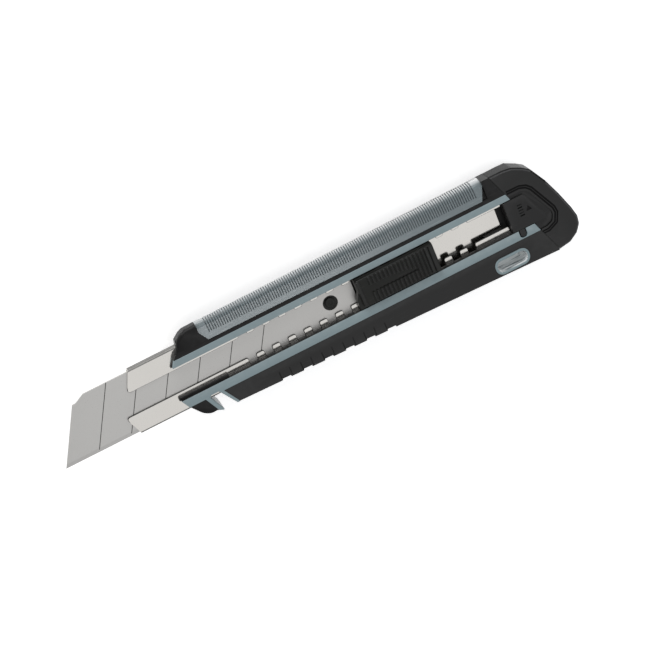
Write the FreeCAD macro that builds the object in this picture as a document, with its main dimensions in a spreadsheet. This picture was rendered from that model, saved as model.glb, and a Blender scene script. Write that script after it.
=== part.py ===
import FreeCAD, Part
import os
import re
import Sketcher
from FreeCAD import Placement, Rotation, Vector

# Snap-off utility knife, lying on its back.
# Model coordinates: X runs from the blade's tip to the rear cap, Y = 0 is the centre line of
# the blade channel with +Y towards the ruler, and Z = 0 is the flat back that it rests on.
# Every piece is drawn in those coordinates, and its Placement then moves the origin
# to the middle of the whole knife's footprint.

doc = FreeCAD.newDocument("UtilityKnife")
dims = doc.addObject("Spreadsheet::Sheet", "dims")

sizes = [
    # handle
    ("knife_length", 223.8), ("ruler_wall", 5.5), ("edge_wall", 9.6), ("front_wall", 5.3),
    ("body_front", 53.0), ("split_level", 6.0), ("side_clearance", 0.1), ("roof", 1.1),
    ("grip_skin", 1.6), ("bezel_thickness", 1.8),
    # blade
    ("blade_width", 25.0), ("blade_thickness", 0.7), ("blade_length", 130.0),
    ("segment_pitch", 13.8), ("snap_angle", 60.5), ("score_width", 0.35), ("score_depth", 0.12),
    ("edge_bevel", 1.7), ("edge_land", 0.08), ("blade_hole_dia", 6.2), ("rear_to_hole", 10.5),
    ("back_step", 2.2), ("rear_corner", 3.0), ("blade_gap", 0.1), ("blade_roof_gap", 0.15),
    # rail
    ("rail_front", 28.8), ("rail_short", 6.5), ("rail_level", 10.9), ("rail_sheet", 0.5),
    ("blade_side_gap", 0.2), ("lip_ruler", 4.4), ("lip_edge", 4.8), ("nose_setback", 3.2),
    ("nose_upper", 34.7), ("nose_upper_setback", 2.8), ("tooth_front", 81.3), ("tooth_gap", 3.5),
    ("tooth_pitch", 6.9), ("tooth_depth", 3.0), ("wall_short", 2.4), ("bend_radius", 0.9),
    # openings and strips in the front of the handle
    ("slot_ruler", 6.4), ("slot_edge", 7.5), ("upper_bezel_width", 2.75),
    ("lower_bezel_width", 3.8), ("black_line_width", 1.8),
    # cord notch in the front hook
    ("notch_front", 61.3), ("notch_width", 4.6), ("notch_lean", 32.0), ("notch_top", 10.7),
    ("notch_trim", 1.8), ("notch_thin_trim", 1.2),
    # bottom edge of the handle
    ("bottom_front", 70.3), ("band_width", 3.0), ("step_front", 89.8),
    ("step_width", 4.3), ("step_pitch", 9.15), ("step_depth", 0.8),
    # ruler
    ("ruler_front", 67.9), ("ruler_short", 11.1), ("ruler_fall", 1.4), ("ruler_flat", 5.3),
    ("ruler_round", 2.4), ("cover_wall", 0.9), ("scale_wall", 0.4), ("skirt_front", 13.0),
    ("skirt_rear", 10.0), ("back_bevel", 30.0), ("ruler_corner", 2.4),
    ("nose_depth", 3.0), ("nose_inset", 4.0),
    # rear cap and plug
    ("cap_length", 20.7), ("part_line_slope", 22.5), ("cap_gap", 0.15), ("plug_gap", 0.3),
    ("plug_rise", 0.8), ("prong_length", 10.4), ("prong_in", 5.6), ("prong_depth", 1.9),
    ("prong_root", 13.0), ("latch_from_plug", 2.4), ("latch_width", 2.4), ("latch_gap", 0.4),
    ("latch_reach", 10.6), ("cap_bevel", 4.4),
    # slider
    ("slider_length", 34.1), ("slider_gap", 0.5), ("slider_lift", 0.3), ("slider_rise", 0.4),
    ("pad_thickness", 2.0), ("lip_clearance", 0.4), ("carrier_gap", 0.1), ("carrier_plate", 1.15),
    ("carrier_side_gap", 0.3), ("carrier_arm_half", 4.0), ("arm_past_pin", 12.0),
    ("carrier_under_slider", 23.5), ("stop_gap", 1.0), ("pin_dia", 4.2), ("pin_stem_dia", 2.0),
    ("spring_sheet", 0.35), ("spring_width", 1.1), ("spring_length", 18.0), ("spring_drop", 0.35),
    ("spring_room", 1.2), ("slider_corner", 0.8), ("slider_rivet_dia", 2.2),
    # fasteners and eyelet
    ("eyelet_from_part_line", 10.7), ("eyelet_inset", 4.8), ("eyelet_length", 15.1),
    ("eyelet_height", 6.9), ("eyelet_wall", 1.2), ("screw_dia", 2.8), ("screw_head_dia", 5.2),
    ("screw_head", 1.8), ("screw_sink", 0.8), ("screw_length", 7.0), ("screw_front_x", 80.0),
    ("screw_from_part_line", 25.1), ("screw_ruler_y", 8.5), ("screw_edge_y", 11.0),
    ("cross_long", 3.0), ("cross_wide", 0.7), ("cross_deep", 1.1), ("rivet_dia", 3.0),
    ("rivet_head_dia", 5.4), ("rivet_head", 0.5), ("rivet_x", 58.5), ("rivet_y", 8.0),
    ("rivet_length", 3.8),
    # back grip
    ("back_grip_front", 92.0), ("back_grip_length", 76.0), ("back_grip_half", 7.5),
    ("back_grip_depth", 1.2), ("back_grip_corner", 3.0),
]
value = {}
for row, (alias, amount) in enumerate(sizes, start=1):
    dims.set("A%d" % row, alias)
    dims.set("B%d" % row, str(amount))
    dims.setAlias("B%d" % row, alias)
    value[alias] = amount
doc.recompute()

# Sizes that follow from the ones in the sheet.
derived = {
    "rail_half": "blade_width / 2 + blade_side_gap + rail_sheet",
    "ruler_side": "rail_half + ruler_wall",
    "edge_side": "rail_half + edge_wall",
    "bottom_front_drop": "rail_half + front_wall",
    "carrier_level": "rail_level + rail_sheet + carrier_gap",
    "blade_level": "carrier_level + carrier_plate + blade_gap",
    "blade_top": "blade_level + blade_thickness",
    "rail_top": "blade_top + blade_roof_gap + rail_sheet",
    "skin_level": "rail_top + roof",
    "grip_level": "skin_level + grip_skin",
    "face_level": "skin_level + bezel_thickness",
    "slider_level": "rail_top + slider_lift",
    "slider_top": "face_level + slider_rise",
    "part_line": "knife_length - cap_length",
    "rail_rear": "part_line - rail_short",
    "ruler_rear": "part_line - ruler_short",
    "ruler_start": "slot_ruler + upper_bezel_width + black_line_width",
    "bezel_top": "slot_ruler + upper_bezel_width",
    "bezel_bottom": "-slot_edge - lower_bezel_width",
    "skirt_slope": "(skirt_front - skirt_rear) / (ruler_rear - ruler_front)",
    "eyelet_x": "part_line - eyelet_from_part_line",
    "eyelet_y": "edge_side - eyelet_inset",
    "screw_rear_x": "part_line - screw_from_part_line",
    "plug_front": "rail_rear + plug_gap",
    "plug_level": "face_level - plug_rise",
    "prong_front": "plug_front - prong_length",
    "latch_front": "plug_front + latch_from_plug",
    "pin_x": "blade_length - rear_to_hole",
    "carrier_wide": "rail_half - rail_sheet - carrier_side_gap",
    "carrier_block_front": "blade_length + stop_gap",
    "edge_end": "part_line + edge_side * tan(part_line_slope)",
    "bottom_fall": "(edge_side - bottom_front_drop) / (edge_end - bottom_front)",
    "slider_front": "blade_length + slider_gap",
    "slider_rear": "slider_front + slider_length",
    "carrier_rear": "slider_front + carrier_under_slider",
    "slider_low": "-slot_edge + slider_gap",
    "slider_high": "slot_ruler - slider_gap",
    "spring_x": "tooth_front + tooth_gap / 2 + 10 * tooth_pitch",
}


def formula(text):
    """Spell out the derived sizes in a formula and point the others at their cells."""
    def spell(match):
        word = match[0]
        if word in derived:
            return "(" + formula(derived[word]) + ")"
        return "dims." + word if word in value else word
    return re.sub(r"[a-z_]\w*", spell, text)


def bind(obj, prop, text):
    obj.setExpression(prop, formula(text))


origin_x = "-knife_length / 2"
origin_y = "(edge_side - ruler_side) / 2"
pieces = []


def place(piece):
    """Name a finished piece and move it so that the knife's footprint is centred."""
    bind(piece, "Placement.Base.x", origin_x)
    bind(piece, "Placement.Base.y", origin_y)
    pieces.append(piece)
    return piece


def new_piece(label):
    body = doc.addObject("PartDesign::Body", label)
    body.Label = label
    return place(body)


def plane_of(body, role):
    return next(item for item in body.Origin.OriginFeatures if item.Role == role)


def new_sketch(body, name, plane, level, turn=None):
    """A sketch on one of the body's own planes, at a bound height, with an optional turn."""
    sketch = body.newObject("Sketcher::SketchObject", name)
    sketch.AttachmentSupport = [(plane_of(body, plane), "")]
    sketch.MapMode = "FlatFace"
    if turn:
        axis, angle = turn
        sketch.AttachmentOffset = Placement(Vector(), Rotation(axis, 1.0))
        bind(sketch, "AttachmentOffset.Rotation.Angle", angle)
    bind(sketch, "AttachmentOffset.Base.z", level)
    return sketch


def polygon(sketch, points):
    """A closed outline whose every corner is held by two bound distances from the origin."""
    count = len(points)
    spots = [Rotation(Vector(0, 0, 1), 360 * index / count).multVec(Vector(50, 0, 0))
             for index in range(count)]
    for index, spot in enumerate(spots):
        sketch.addGeometry(Part.LineSegment(spot, spots[(index + 1) % count]), False)
    rules = [Sketcher.Constraint("Coincident", index, 2, (index + 1) % count, 1)
             for index in range(count)]
    for index, spot in enumerate(spots):
        rules.append(Sketcher.Constraint("DistanceX", -1, 1, index, 1, spot.x))
        rules.append(Sketcher.Constraint("DistanceY", -1, 1, index, 1, spot.y))
    sketch.addConstraint(rules)
    for index, (along, across) in enumerate(points):
        bind(sketch, "Constraints[%d]" % (count + 2 * index), along)
        bind(sketch, "Constraints[%d]" % (count + 2 * index + 1), across)


def circle(sketch, centre_x, centre_y, diameter):
    """A circle with a bound centre and diameter."""
    sketch.addGeometry(Part.Circle(Vector(1, 1, 0), Vector(0, 0, 1), 1), False)
    sketch.addConstraint([
        Sketcher.Constraint("DistanceX", -1, 1, 0, 3, 1),
        Sketcher.Constraint("DistanceY", -1, 1, 0, 3, 1),
        Sketcher.Constraint("Diameter", 0, 2),
    ])
    for index, text in enumerate((centre_x, centre_y, diameter)):
        bind(sketch, "Constraints[%d]" % index, text)


def add_pad(body, name, sketch, length):
    pad = body.newObject("PartDesign::Pad", name)
    pad.Profile = sketch
    bind(pad, "Length", length)
    doc.recompute()
    return pad


def add_pocket(body, name, sketch, length, both=False):
    """Cut a sketch away upwards from its plane, or both ways."""
    before = body.Shape.Volume
    pocket = body.newObject("PartDesign::Pocket", name)
    pocket.Profile = sketch
    pocket.Reversed = True
    if both:
        pocket.SideType = "Symmetric"
    bind(pocket, "Length", length)
    doc.recompute()
    if pocket.Shape.isNull() or body.Shape.Volume > before - 1e-4:
        raise RuntimeError("%s removed nothing from %s" % (name, body.Label))
    return pocket


def block(body, name, corners, level, height, plane="XY_Plane"):
    """Pad a closed outline up from a level."""
    sketch = new_sketch(body, name + "_sketch", plane, level)
    polygon(sketch, corners)
    return add_pad(body, name, sketch, height)


def hollow(body, name, corners, level, height, plane="XY_Plane"):
    """Cut a closed outline away, up from a level."""
    sketch = new_sketch(body, name + "_sketch", plane, level)
    polygon(sketch, corners)
    return add_pocket(body, name, sketch, height)


def round_hole(body, name, centre_x, centre_y, diameter, level, height):
    sketch = new_sketch(body, name + "_sketch", "XY_Plane", level)
    circle(sketch, centre_x, centre_y, diameter)
    return add_pocket(body, name, sketch, height)


def box_corners(low_x, low_y, high_x, high_y):
    return [(low_x, low_y), (high_x, low_y), (high_x, high_y), (low_x, high_y)]


def dress(body, kind, name, edge_names, prop, size):
    """A fillet or chamfer on named edges of the body's present tip."""
    base = body.Tip
    feature = body.newObject("PartDesign::" + kind, name)
    feature.Base = (base, edge_names)
    bind(feature, prop, size)
    doc.recompute()
    return feature


def round_corners(body, pad, corner_numbers, radius):
    """Round the upright edges over numbered corners of a pad's outline."""
    lines = pad.Profile[0].Geometry
    spots = [lines[number].StartPoint for number in corner_numbers]
    names = []
    for index, edge in enumerate(body.Tip.Shape.Edges, start=1):
        start, end = edge.Vertexes[0].Point, edge.Vertexes[-1].Point
        upright = abs(start.x - end.x) + abs(start.y - end.y) < 1e-4
        if upright and any(abs(start.x - spot.x) + abs(start.y - spot.y) < 1e-3 for spot in spots):
            names.append("Edge%d" % index)
    return dress(body, "Fillet", "round_corners", names, "Radius", radius)


def repeat(body, feature, name, pitch, count, turn="0"):
    """Repeat a cut along X, or along a line turned from X about Z."""
    sketch = new_sketch(body, name + "_line", "XY_Plane", "0", (Vector(0, 0, 1), turn))
    pattern = body.newObject("PartDesign::LinearPattern", name)
    pattern.Originals = [feature]
    pattern.Direction = (sketch, ["H_Axis"])
    pattern.Mode = "Spacing"
    bind(pattern, "Offset", pitch)
    pattern.Occurrences = count
    body.Tip = pattern
    doc.recompute()
    return pattern


# ---------------------------------------------------------------- shared outlines
# The rear cap meets the handle on a slanted line, and the bottom edge falls to the rear.
def part_line_at(across, gap="0"):
    return "part_line - (%s) * tan(part_line_slope) - %s" % (across, gap)


def bottom_at(along, inset="0"):
    return "-bottom_front_drop - (%s - bottom_front) * bottom_fall + %s" % (along, inset)


def bottom_point(along, inset="0"):
    return (along, bottom_at(along, inset))


band_end = part_line_at("-edge_side + band_width", "cap_gap")
skin_end = part_line_at("-edge_side", "cap_gap")
band_start = "bottom_front + 2.2"

notch_drop = "(bottom_front_drop - notch_top)"
notch_walls = [
    ("notch_front + %s * tan(notch_lean) - 1.5" % notch_drop, "-bottom_front_drop - 0.3"),
    ("notch_front", "-notch_top - 0.6"), ("notch_front + 1.0", "-notch_top"),
    ("notch_front + notch_width - 0.6", "-notch_top"),
    ("notch_front + notch_width", "-notch_top - 0.6"),
    ("bottom_front", "-bottom_front_drop"),
]
hook_toe = [
    ("body_front + 1.7", "-edge_side + 8.7"), ("body_front + 3.6", "-edge_side + 6.2"),
    ("body_front + 6.4", "-edge_side + 4.7"),
]
hook_front = [
    ("body_front - 3.1", "-slot_edge + 1.5"), ("body_front - 1.9", "-slot_edge - 0.5"),
    ("body_front - 0.3", "bezel_bottom"),
]
ruler_nose = [
    ("body_front + 1.7", "bezel_top"), ("body_front + 4.7", "ruler_side - 5.7"),
    ("body_front + 5.4", "ruler_side - 3.1"), ("body_front + 7.8", "ruler_side - 1.3"),
    ("body_front + 10.2", "ruler_side - 0.3"), ("body_front + 14.8", "ruler_side"),
]


def eyelet_outline(inset):
    """The eight corners of the lanyard eyelet, drawn in by an inset."""
    half_long = "(eyelet_length / 2 - %s)" % inset
    half_tall = "(eyelet_height / 2 - %s)" % inset
    shape = [(1, 0, 0.25), (1, 0.8, 1), (-1, 0.8, 1), (-1, 0, 0.25)]
    corners = []
    for side in (1, -1):
        for end, cut, rise in shape:
            along = "eyelet_x + %d * (%s - %s * %s)" % (side * end, half_long, cut, half_tall)
            corners.append((along, "-eyelet_y + %s * %s" % (side * rise, half_tall)))
    return corners


def ruler_section(inset):
    """The ruler's outer face in cross-section, moved in by an inset."""
    depth = "(%s)" % inset
    return [
        ("ruler_start", "face_level - " + depth),
        ("ruler_start + ruler_flat - 0.3 * " + depth, "face_level - ruler_fall - " + depth),
        ("ruler_side - 0.8 - 0.8 * " + depth, "face_level - ruler_round - 0.7 * " + depth),
        ("ruler_side - " + depth, "face_level - ruler_round - 1.6 - 0.3 * " + depth),
        ("ruler_side - " + depth, "skirt_rear - 3"),
    ]


def cut_channel(body):
    """Leave room for the rail, which runs the full length of the handle."""
    half = "(rail_half + side_clearance)"
    hollow(body, "channel", box_corners("0", "-" + half, "knife_length", half),
           "rail_level - side_clearance", "rail_top - rail_level + 2 * side_clearance")


def cut_back_bevel(body):
    """Lean the ruler side's back inwards, below the ruler cover's falling lower edge."""
    turn = (Vector(1, 0, 0), "atan(skirt_slope)")
    sketch = new_sketch(body, "back_bevel_sketch", "YZ_Plane", "0", turn)
    start = "(skirt_front + ruler_front * skirt_slope)"
    polygon(sketch, [
        ("ruler_side", start), ("ruler_side - (%s + 8) * tan(back_bevel)" % start, "-8"),
        ("ruler_side + 9", "-8"), ("ruler_side + 9", start),
    ])
    add_pocket(body, "back_bevel", sketch, "knife_length * 1.1")


def cut_edge_bevel(body):
    """Lean the bottom side's back inwards, from just under the parting of the two halves."""
    sketch = new_sketch(body, "edge_bevel_sketch", "YZ_Plane", "0",
                        (Vector(0, 1, 0), "-atan(bottom_fall)"))
    start = "-bottom_front_drop + bottom_front * bottom_fall"
    polygon(sketch, [
        (start + " - 6", "-1"), (start + " + split_level * tan(back_bevel)", "-1"),
        (start, "split_level - 0.4"), (start + " - 6", "split_level - 0.4"),
    ])
    add_pocket(body, "edge_side_bevel", sketch, "knife_length * 1.1")


def cut_eyelet_hole(body):
    hollow(body, "eyelet_hole", eyelet_outline("0"), "0", "face_level + 1")


def cut_screw_holes(body):
    """Holes that the casing screws fill."""
    for index, (along, across) in enumerate(screw_places):
        round_hole(body, "pilot_%d" % index, along, across, "screw_dia", "0",
                   "screw_sink + screw_head + screw_length")


def cut_rivet_holes(body, depth):
    """Holes that the rail's rivets fill, down from the rail's inner face."""
    for index, (along, across) in enumerate(rivet_places):
        round_hole(body, "rivet_hole_%d" % index, along, across, "rivet_dia",
                   "rail_level + rail_sheet - " + depth, depth)


screw_places = [
    ("screw_front_x", "screw_ruler_y"), ("screw_front_x", "-screw_edge_y"),
    ("screw_rear_x", "screw_ruler_y"), ("screw_rear_x", "-screw_edge_y"),
]
rivet_places = [("rivet_x", "rivet_y"), ("rivet_x", "-rivet_y")]
slider_rivet_places = [("slider_front + 6", "-0.2"), ("carrier_rear - 3", "-0.2")]


# ---------------------------------------------------------------- handle
def make_core_frame():
    """The black moulding that holds the rail and carries every skin."""
    body = new_piece("core_frame")
    edge_half = hook_front + hook_toe + notch_walls + [
        bottom_point(band_start), bottom_point(band_start, "band_width"),
        bottom_point(band_end, "band_width"),
        (part_line_at("ruler_side", "cap_gap"), "ruler_side"),
    ]
    nose_back = [(along + " + nose_inset", across) for along, across in ruler_nose]
    slot_front = [("body_front - 0.4", "slot_ruler")]
    block(body, "upper_block", edge_half + ruler_nose[::-1] + slot_front,
          "skin_level - nose_depth", "nose_depth")
    block(body, "lower_block", edge_half + nose_back[::-1] + slot_front,
          "split_level", "skin_level - nose_depth - split_level")
    block(body, "black_line", [
        ("body_front + 1.7", "bezel_top"), (part_line_at("bezel_top", "cap_gap"), "bezel_top"),
        (part_line_at("ruler_start", "cap_gap"), "ruler_start"),
        ("ruler_front + ruler_corner", "ruler_start"), ("body_front + 3.2", "ruler_start"),
    ], "skin_level", "grip_skin")
    block(body, "rear_shoulder", [
        ("ruler_rear - ruler_corner", "ruler_start"),
        (part_line_at("ruler_start", "cap_gap"), "ruler_start"),
        (part_line_at("ruler_side", "cap_gap"), "ruler_side"), ("ruler_rear", "ruler_side"),
        ("ruler_rear", "ruler_side - ruler_corner"),
    ], "skin_level", "grip_skin")
    cut_channel(body)
    hollow(body, "slot", box_corners("0", "-slot_edge", "knife_length", "slot_ruler"),
           "rail_top", "face_level - rail_top")
    hollow(body, "ruler_seat", ruler_section("cover_wall + scale_wall") + [
        ("ruler_side + 5", "skirt_rear - 3"), ("ruler_side + 5", "face_level + 3"),
        ("ruler_start", "face_level + 3"),
    ], "ruler_front", "ruler_rear - ruler_front", "YZ_Plane")
    cut_back_bevel(body)
    cut_eyelet_hole(body)
    cut_screw_holes(body)
    cut_rivet_holes(body, "rivet_length")


def make_ruler_layer(label, outer, inner):
    """One layer of the ruler: the printed scale, or the clear cover over it."""
    body = new_piece(label)
    block(body, "bar", ruler_section(outer) + ruler_section(inner)[::-1],
          "ruler_front", "ruler_rear - ruler_front", "YZ_Plane")
    sketch = new_sketch(body, "skirt_sketch", "XZ_Plane", "0")
    polygon(sketch, [
        ("0", "0"), ("knife_length", "0"),
        ("knife_length", "skirt_rear - (knife_length - ruler_rear) * skirt_slope"),
        ("0", "skirt_front + ruler_front * skirt_slope"),
    ])
    add_pocket(body, "skirt_cut", sketch, "100", both=True)
    hollow(body, "front_corner", [
        ("ruler_front - 1", "ruler_start - 1"), ("ruler_front + ruler_corner", "ruler_start - 1"),
        ("ruler_front + ruler_corner", "ruler_start"),
        ("ruler_front", "ruler_side - 4"), ("ruler_front - 1", "ruler_side - 4"),
    ], "0", "face_level + 1")
    hollow(body, "rear_corner", [
        ("ruler_rear + 1", "ruler_start - 1"), ("ruler_rear + 1", "ruler_side - ruler_corner"),
        ("ruler_rear", "ruler_side - ruler_corner"), ("ruler_rear - ruler_corner", "ruler_start"),
        ("ruler_rear - ruler_corner", "ruler_start - 1"),
    ], "0", "face_level + 1")


def make_back_shell():
    """The rear half of the casing, whose flat back the knife rests on."""
    body = new_piece("back_shell")
    block(body, "shell_block", [
        ("body_front + 4", "-edge_side + 11.8"), (band_start, "-bottom_front_drop + 4.5"),
        bottom_point(band_start), bottom_point(skin_end),
        (part_line_at("ruler_side", "cap_gap"), "ruler_side"), ("body_front + 13", "ruler_side"),
        ("body_front + 8", "ruler_side - 5.7"),
    ], "0", "split_level")
    cut_back_bevel(body)
    cut_edge_bevel(body)
    hollow(body, "grip_seat", back_grip_outline, "0", "back_grip_depth")
    cut_eyelet_hole(body)
    for index, (along, across) in enumerate(screw_places):
        round_hole(body, "head_seat_%d" % index, along, across,
                   "screw_head_dia + 2 * side_clearance", "0", "screw_sink + screw_head")
    cut_screw_holes(body)


back_grip_outline = [
    ("back_grip_front + %s" % along, across) for along, across in (
        ("0", "-back_grip_half + back_grip_corner"), ("back_grip_corner", "-back_grip_half"),
        ("back_grip_length - back_grip_corner", "-back_grip_half"),
        ("back_grip_length", "-back_grip_half + back_grip_corner"),
        ("back_grip_length", "back_grip_half - back_grip_corner"),
        ("back_grip_length - back_grip_corner", "back_grip_half"),
        ("back_grip_corner", "back_grip_half"), ("0", "back_grip_half - back_grip_corner"))
]


def make_back_grip():
    body = new_piece("back_grip")
    block(body, "grip_pad", back_grip_outline, "0", "back_grip_depth")


def make_upper_bezel():
    """The strip between the slot and the ruler."""
    body = new_piece("upper_bezel")
    block(body, "strip", [
        ("body_front + 0.1", "slot_ruler"), (part_line_at("slot_ruler", "cap_gap"), "slot_ruler"),
        (part_line_at("bezel_top", "cap_gap"), "bezel_top"), ("body_front + 1.7", "bezel_top"),
    ], "skin_level", "bezel_thickness")


trim_foot = ("notch_front + %s * tan(notch_lean) - 1.8 - notch_trim" % notch_drop,
             "-bottom_front_drop + 0.6")
trim_head = ("notch_front - notch_trim", "bezel_bottom")
grip_head = ("notch_front + notch_width + notch_thin_trim + 0.3", "bezel_bottom")
grip_foot = bottom_point("bottom_front + notch_thin_trim")


def make_lower_bezel():
    """The strip below the slot, with a leg down each side of the cord notch."""
    body = new_piece("lower_bezel")
    block(body, "strip", [
        ("body_front - 2.2", "-slot_edge"), ("body_front - 0.3", "bezel_bottom"),
        trim_head, trim_foot,
    ] + notch_walls + [
        grip_foot, grip_head, (part_line_at("bezel_bottom", "cap_gap"), "bezel_bottom"),
        (part_line_at("-slot_edge", "cap_gap"), "-slot_edge"),
    ], "skin_level", "bezel_thickness")
    front = "latch_front - latch_gap"
    rear = "latch_front + latch_width + latch_gap"
    foot = "-latch_reach - 0.3"
    hollow(body, "latch_notch", [
        (front, foot + " + 0.9"), (front + " + 0.8", foot), (rear + " - 0.8", foot),
        (rear, foot + " + 0.9"), (rear, "0"), (front, "0"),
    ], "0", "face_level + 1")


def make_nose_grip():
    """Soft skin over the ruler side of the nose."""
    body = new_piece("nose_grip")
    block(body, "skin", [
        ("body_front + 3.2", "ruler_start"), ("ruler_front + ruler_corner", "ruler_start"),
        ("ruler_front", "ruler_side - 4"), ("ruler_front", "ruler_side"),
    ] + ruler_nose[-2:0:-1], "skin_level", "grip_skin")


def make_hook_grip():
    """Soft skin on the front hook, ahead of the cord notch."""
    body = new_piece("hook_grip")
    block(body, "skin", [("body_front - 0.3", "bezel_bottom")] + hook_toe + [trim_foot, trim_head],
          "skin_level", "grip_skin")


def make_lower_grip():
    """Soft grip along the bottom edge: a front skin and a thick band with finger steps."""
    body = new_piece("lower_grip")
    block(body, "band", [
        bottom_point(band_start), bottom_point(skin_end), bottom_point(band_end, "band_width"),
        bottom_point(band_start, "band_width"),
    ], "split_level", "skin_level - split_level")
    block(body, "front_skin", [
        grip_head, grip_foot, bottom_point(skin_end),
        (part_line_at("bezel_bottom", "cap_gap"), "bezel_bottom"),
    ], "skin_level", "grip_skin")
    rear = "step_front + step_width"
    step = hollow(body, "finger_step", [
        bottom_point("step_front", "-2"), bottom_point(rear, "-2"),
        (rear + " - 0.5", bottom_at(rear, "step_depth")),
        ("step_front + 0.3", bottom_at("step_front", "step_depth")),
    ], "split_level", "face_level")
    repeat(body, step, "finger_steps", "step_pitch", 6, "-atan(bottom_fall)")
    cut_eyelet_hole(body)


def make_lanyard_eyelet():
    body = new_piece("lanyard_eyelet")
    block(body, "eyelet_block", eyelet_outline("0"), "0", "face_level")
    hollow(body, "cord_hole", eyelet_outline("eyelet_wall"), "0", "face_level")
    cut_edge_bevel(body)


# ---------------------------------------------------------------- turned pieces and fasteners
def bound_cylinder(label, diameter, along, across, level, height):
    """A plain upright cylinder bound to the sheet."""
    solid = doc.addObject("Part::Cylinder", label)
    bind(solid, "Radius", diameter + " / 2")
    bind(solid, "Height", height)
    bind(solid, "Placement.Base.x", along)
    bind(solid, "Placement.Base.y", across)
    bind(solid, "Placement.Base.z", level)
    return solid


def bound_box(label, corner, lengths):
    solid = doc.addObject("Part::Box", label)
    for axis, text in zip("xyz", corner):
        bind(solid, "Placement.Base." + axis, text)
    for prop, text in zip(("Length", "Width", "Height"), lengths):
        bind(solid, prop, text)
    return solid


def join(label, solids):
    """One object from several, which may also stay separate solids."""
    piece = doc.addObject("Part::MultiFuse", label)
    piece.Label = label
    piece.Shapes = solids
    return piece


def make_casing_screws():
    """Four cross-head screws that hold the back shell to the core frame."""
    screws = []
    for index, (along, across) in enumerate(screw_places):
        head = bound_cylinder("screw_head_%d" % index, "screw_head_dia", along, across,
                              "screw_sink", "screw_head")
        shank = bound_cylinder("screw_shank_%d" % index, "screw_dia", along, across,
                               "screw_sink + screw_head", "screw_length")
        bars = [bound_box("cross_%d_%d" % (index, turn),
                          ("%s - %s / 2" % (along, long_x), "%s - %s / 2" % (across, long_y),
                           "screw_sink"),
                          (long_x, long_y, "cross_deep"))
                for turn, (long_x, long_y) in enumerate((("cross_long", "cross_wide"),
                                                         ("cross_wide", "cross_long")))]
        screw = doc.addObject("Part::Cut", "screw_%d" % index)
        screw.Base = join("screw_blank_%d" % index, [head, shank])
        screw.Tool = join("cross_%d" % index, bars)
        screws.append(screw)
    place(join("casing_screws", screws))


def make_rail_rivets():
    """Two flat-headed rivets through the rail's back wall into the core frame."""
    parts = []
    for index, (along, across) in enumerate(rivet_places):
        parts.append(bound_cylinder("rivet_shank_%d" % index, "rivet_dia", along, across,
                                    "rail_level + rail_sheet - rivet_length", "rivet_length"))
        parts.append(bound_cylinder("rivet_head_%d" % index, "rivet_head_dia", along, across,
                                    "rail_level + rail_sheet", "rivet_head"))
    place(join("rail_rivets", parts))


def make_slider_rivets():
    """Two pins that hold the slider's body to the blade carrier."""
    parts = [bound_cylinder("slider_rivet_%d" % index, "slider_rivet_dia", along, across,
                            "carrier_level", "slider_top - carrier_level - 1")
             for index, (along, across) in enumerate(slider_rivet_places)]
    place(join("slider_rivets", parts))


def make_carrier_pin():
    """The shouldered pin that stands through the blade's hole."""
    head = bound_cylinder("pin_head", "pin_dia", "pin_x", "0", "carrier_level + carrier_plate",
                          "blade_top - carrier_level - carrier_plate + 0.05")
    stem = bound_cylinder("pin_stem", "pin_stem_dia", "pin_x", "0", "carrier_level",
                          "carrier_plate")
    place(join("carrier_pin", [head, stem]))


# ---------------------------------------------------------------- rail
def make_rail():
    """The folded steel channel, with a slanted nose and a row of teeth in each lip."""
    body = new_piece("rail")
    inner = "rail_half - rail_sheet"
    block(body, "channel_section", [
        ("-rail_half", "rail_level"), ("rail_half", "rail_level"), ("rail_half", "rail_top"),
        ("lip_ruler", "rail_top"), ("lip_ruler", "rail_top - rail_sheet"),
        (inner, "rail_top - rail_sheet"), (inner, "rail_level + rail_sheet"),
        ("-(%s)" % inner, "rail_level + rail_sheet"), ("-(%s)" % inner, "rail_top - rail_sheet"),
        ("-lip_edge", "rail_top - rail_sheet"), ("-lip_edge", "rail_top"),
        ("-rail_half", "rail_top"),
    ], "rail_front", "rail_rear - rail_front", "YZ_Plane")
    outer_y = body.Tip.Shape.BoundBox.YMax
    bends = ["Edge%d" % index for index, edge in enumerate(body.Tip.Shape.Edges, start=1)
             if abs(abs(edge.CenterOfMass.y) - outer_y) < 1e-3 and edge.BoundBox.XLength > 1]
    dress(body, "Fillet", "bends", bends, "Radius", "bend_radius")
    hollow(body, "nose_cut", [
        ("rail_front - 5", "-rail_half - 1"), ("rail_front + nose_setback", "-rail_half - 1"),
        ("rail_front + nose_setback", "-rail_half"), ("rail_front", "-lip_edge"),
        ("nose_upper - 1.2", "lip_ruler"), ("nose_upper", "lip_ruler + 2.6"),
        ("nose_upper + nose_upper_setback", "rail_half"),
        ("nose_upper + nose_upper_setback", "rail_half + 1"), ("rail_front - 5", "rail_half + 1"),
    ], "0", "face_level")
    for name, low, high in (
            ("ruler_tooth_gap", "lip_ruler - 1", "lip_ruler + tooth_depth"),
            ("edge_tooth_gap", "-lip_edge - tooth_depth", "-lip_edge + 1")):
        gap = hollow(body, name, box_corners("tooth_front", low, "tooth_front + tooth_gap", high),
                     "rail_top - rail_sheet", "rail_sheet")
        repeat(body, gap, name + "s", "tooth_pitch", 15)
    hollow(body, "short_wall",
           box_corners("rail_rear - wall_short", "-prong_in", "rail_rear + 1", "prong_in"),
           "rail_level", "rail_sheet")
    cut_rivet_holes(body, "rail_sheet")


# ---------------------------------------------------------------- blade
def snap_run(across):
    """How far a snap line has run back from the cutting edge at a given height."""
    return "(%s + blade_width / 2) / tan(snap_angle)" % across


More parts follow.
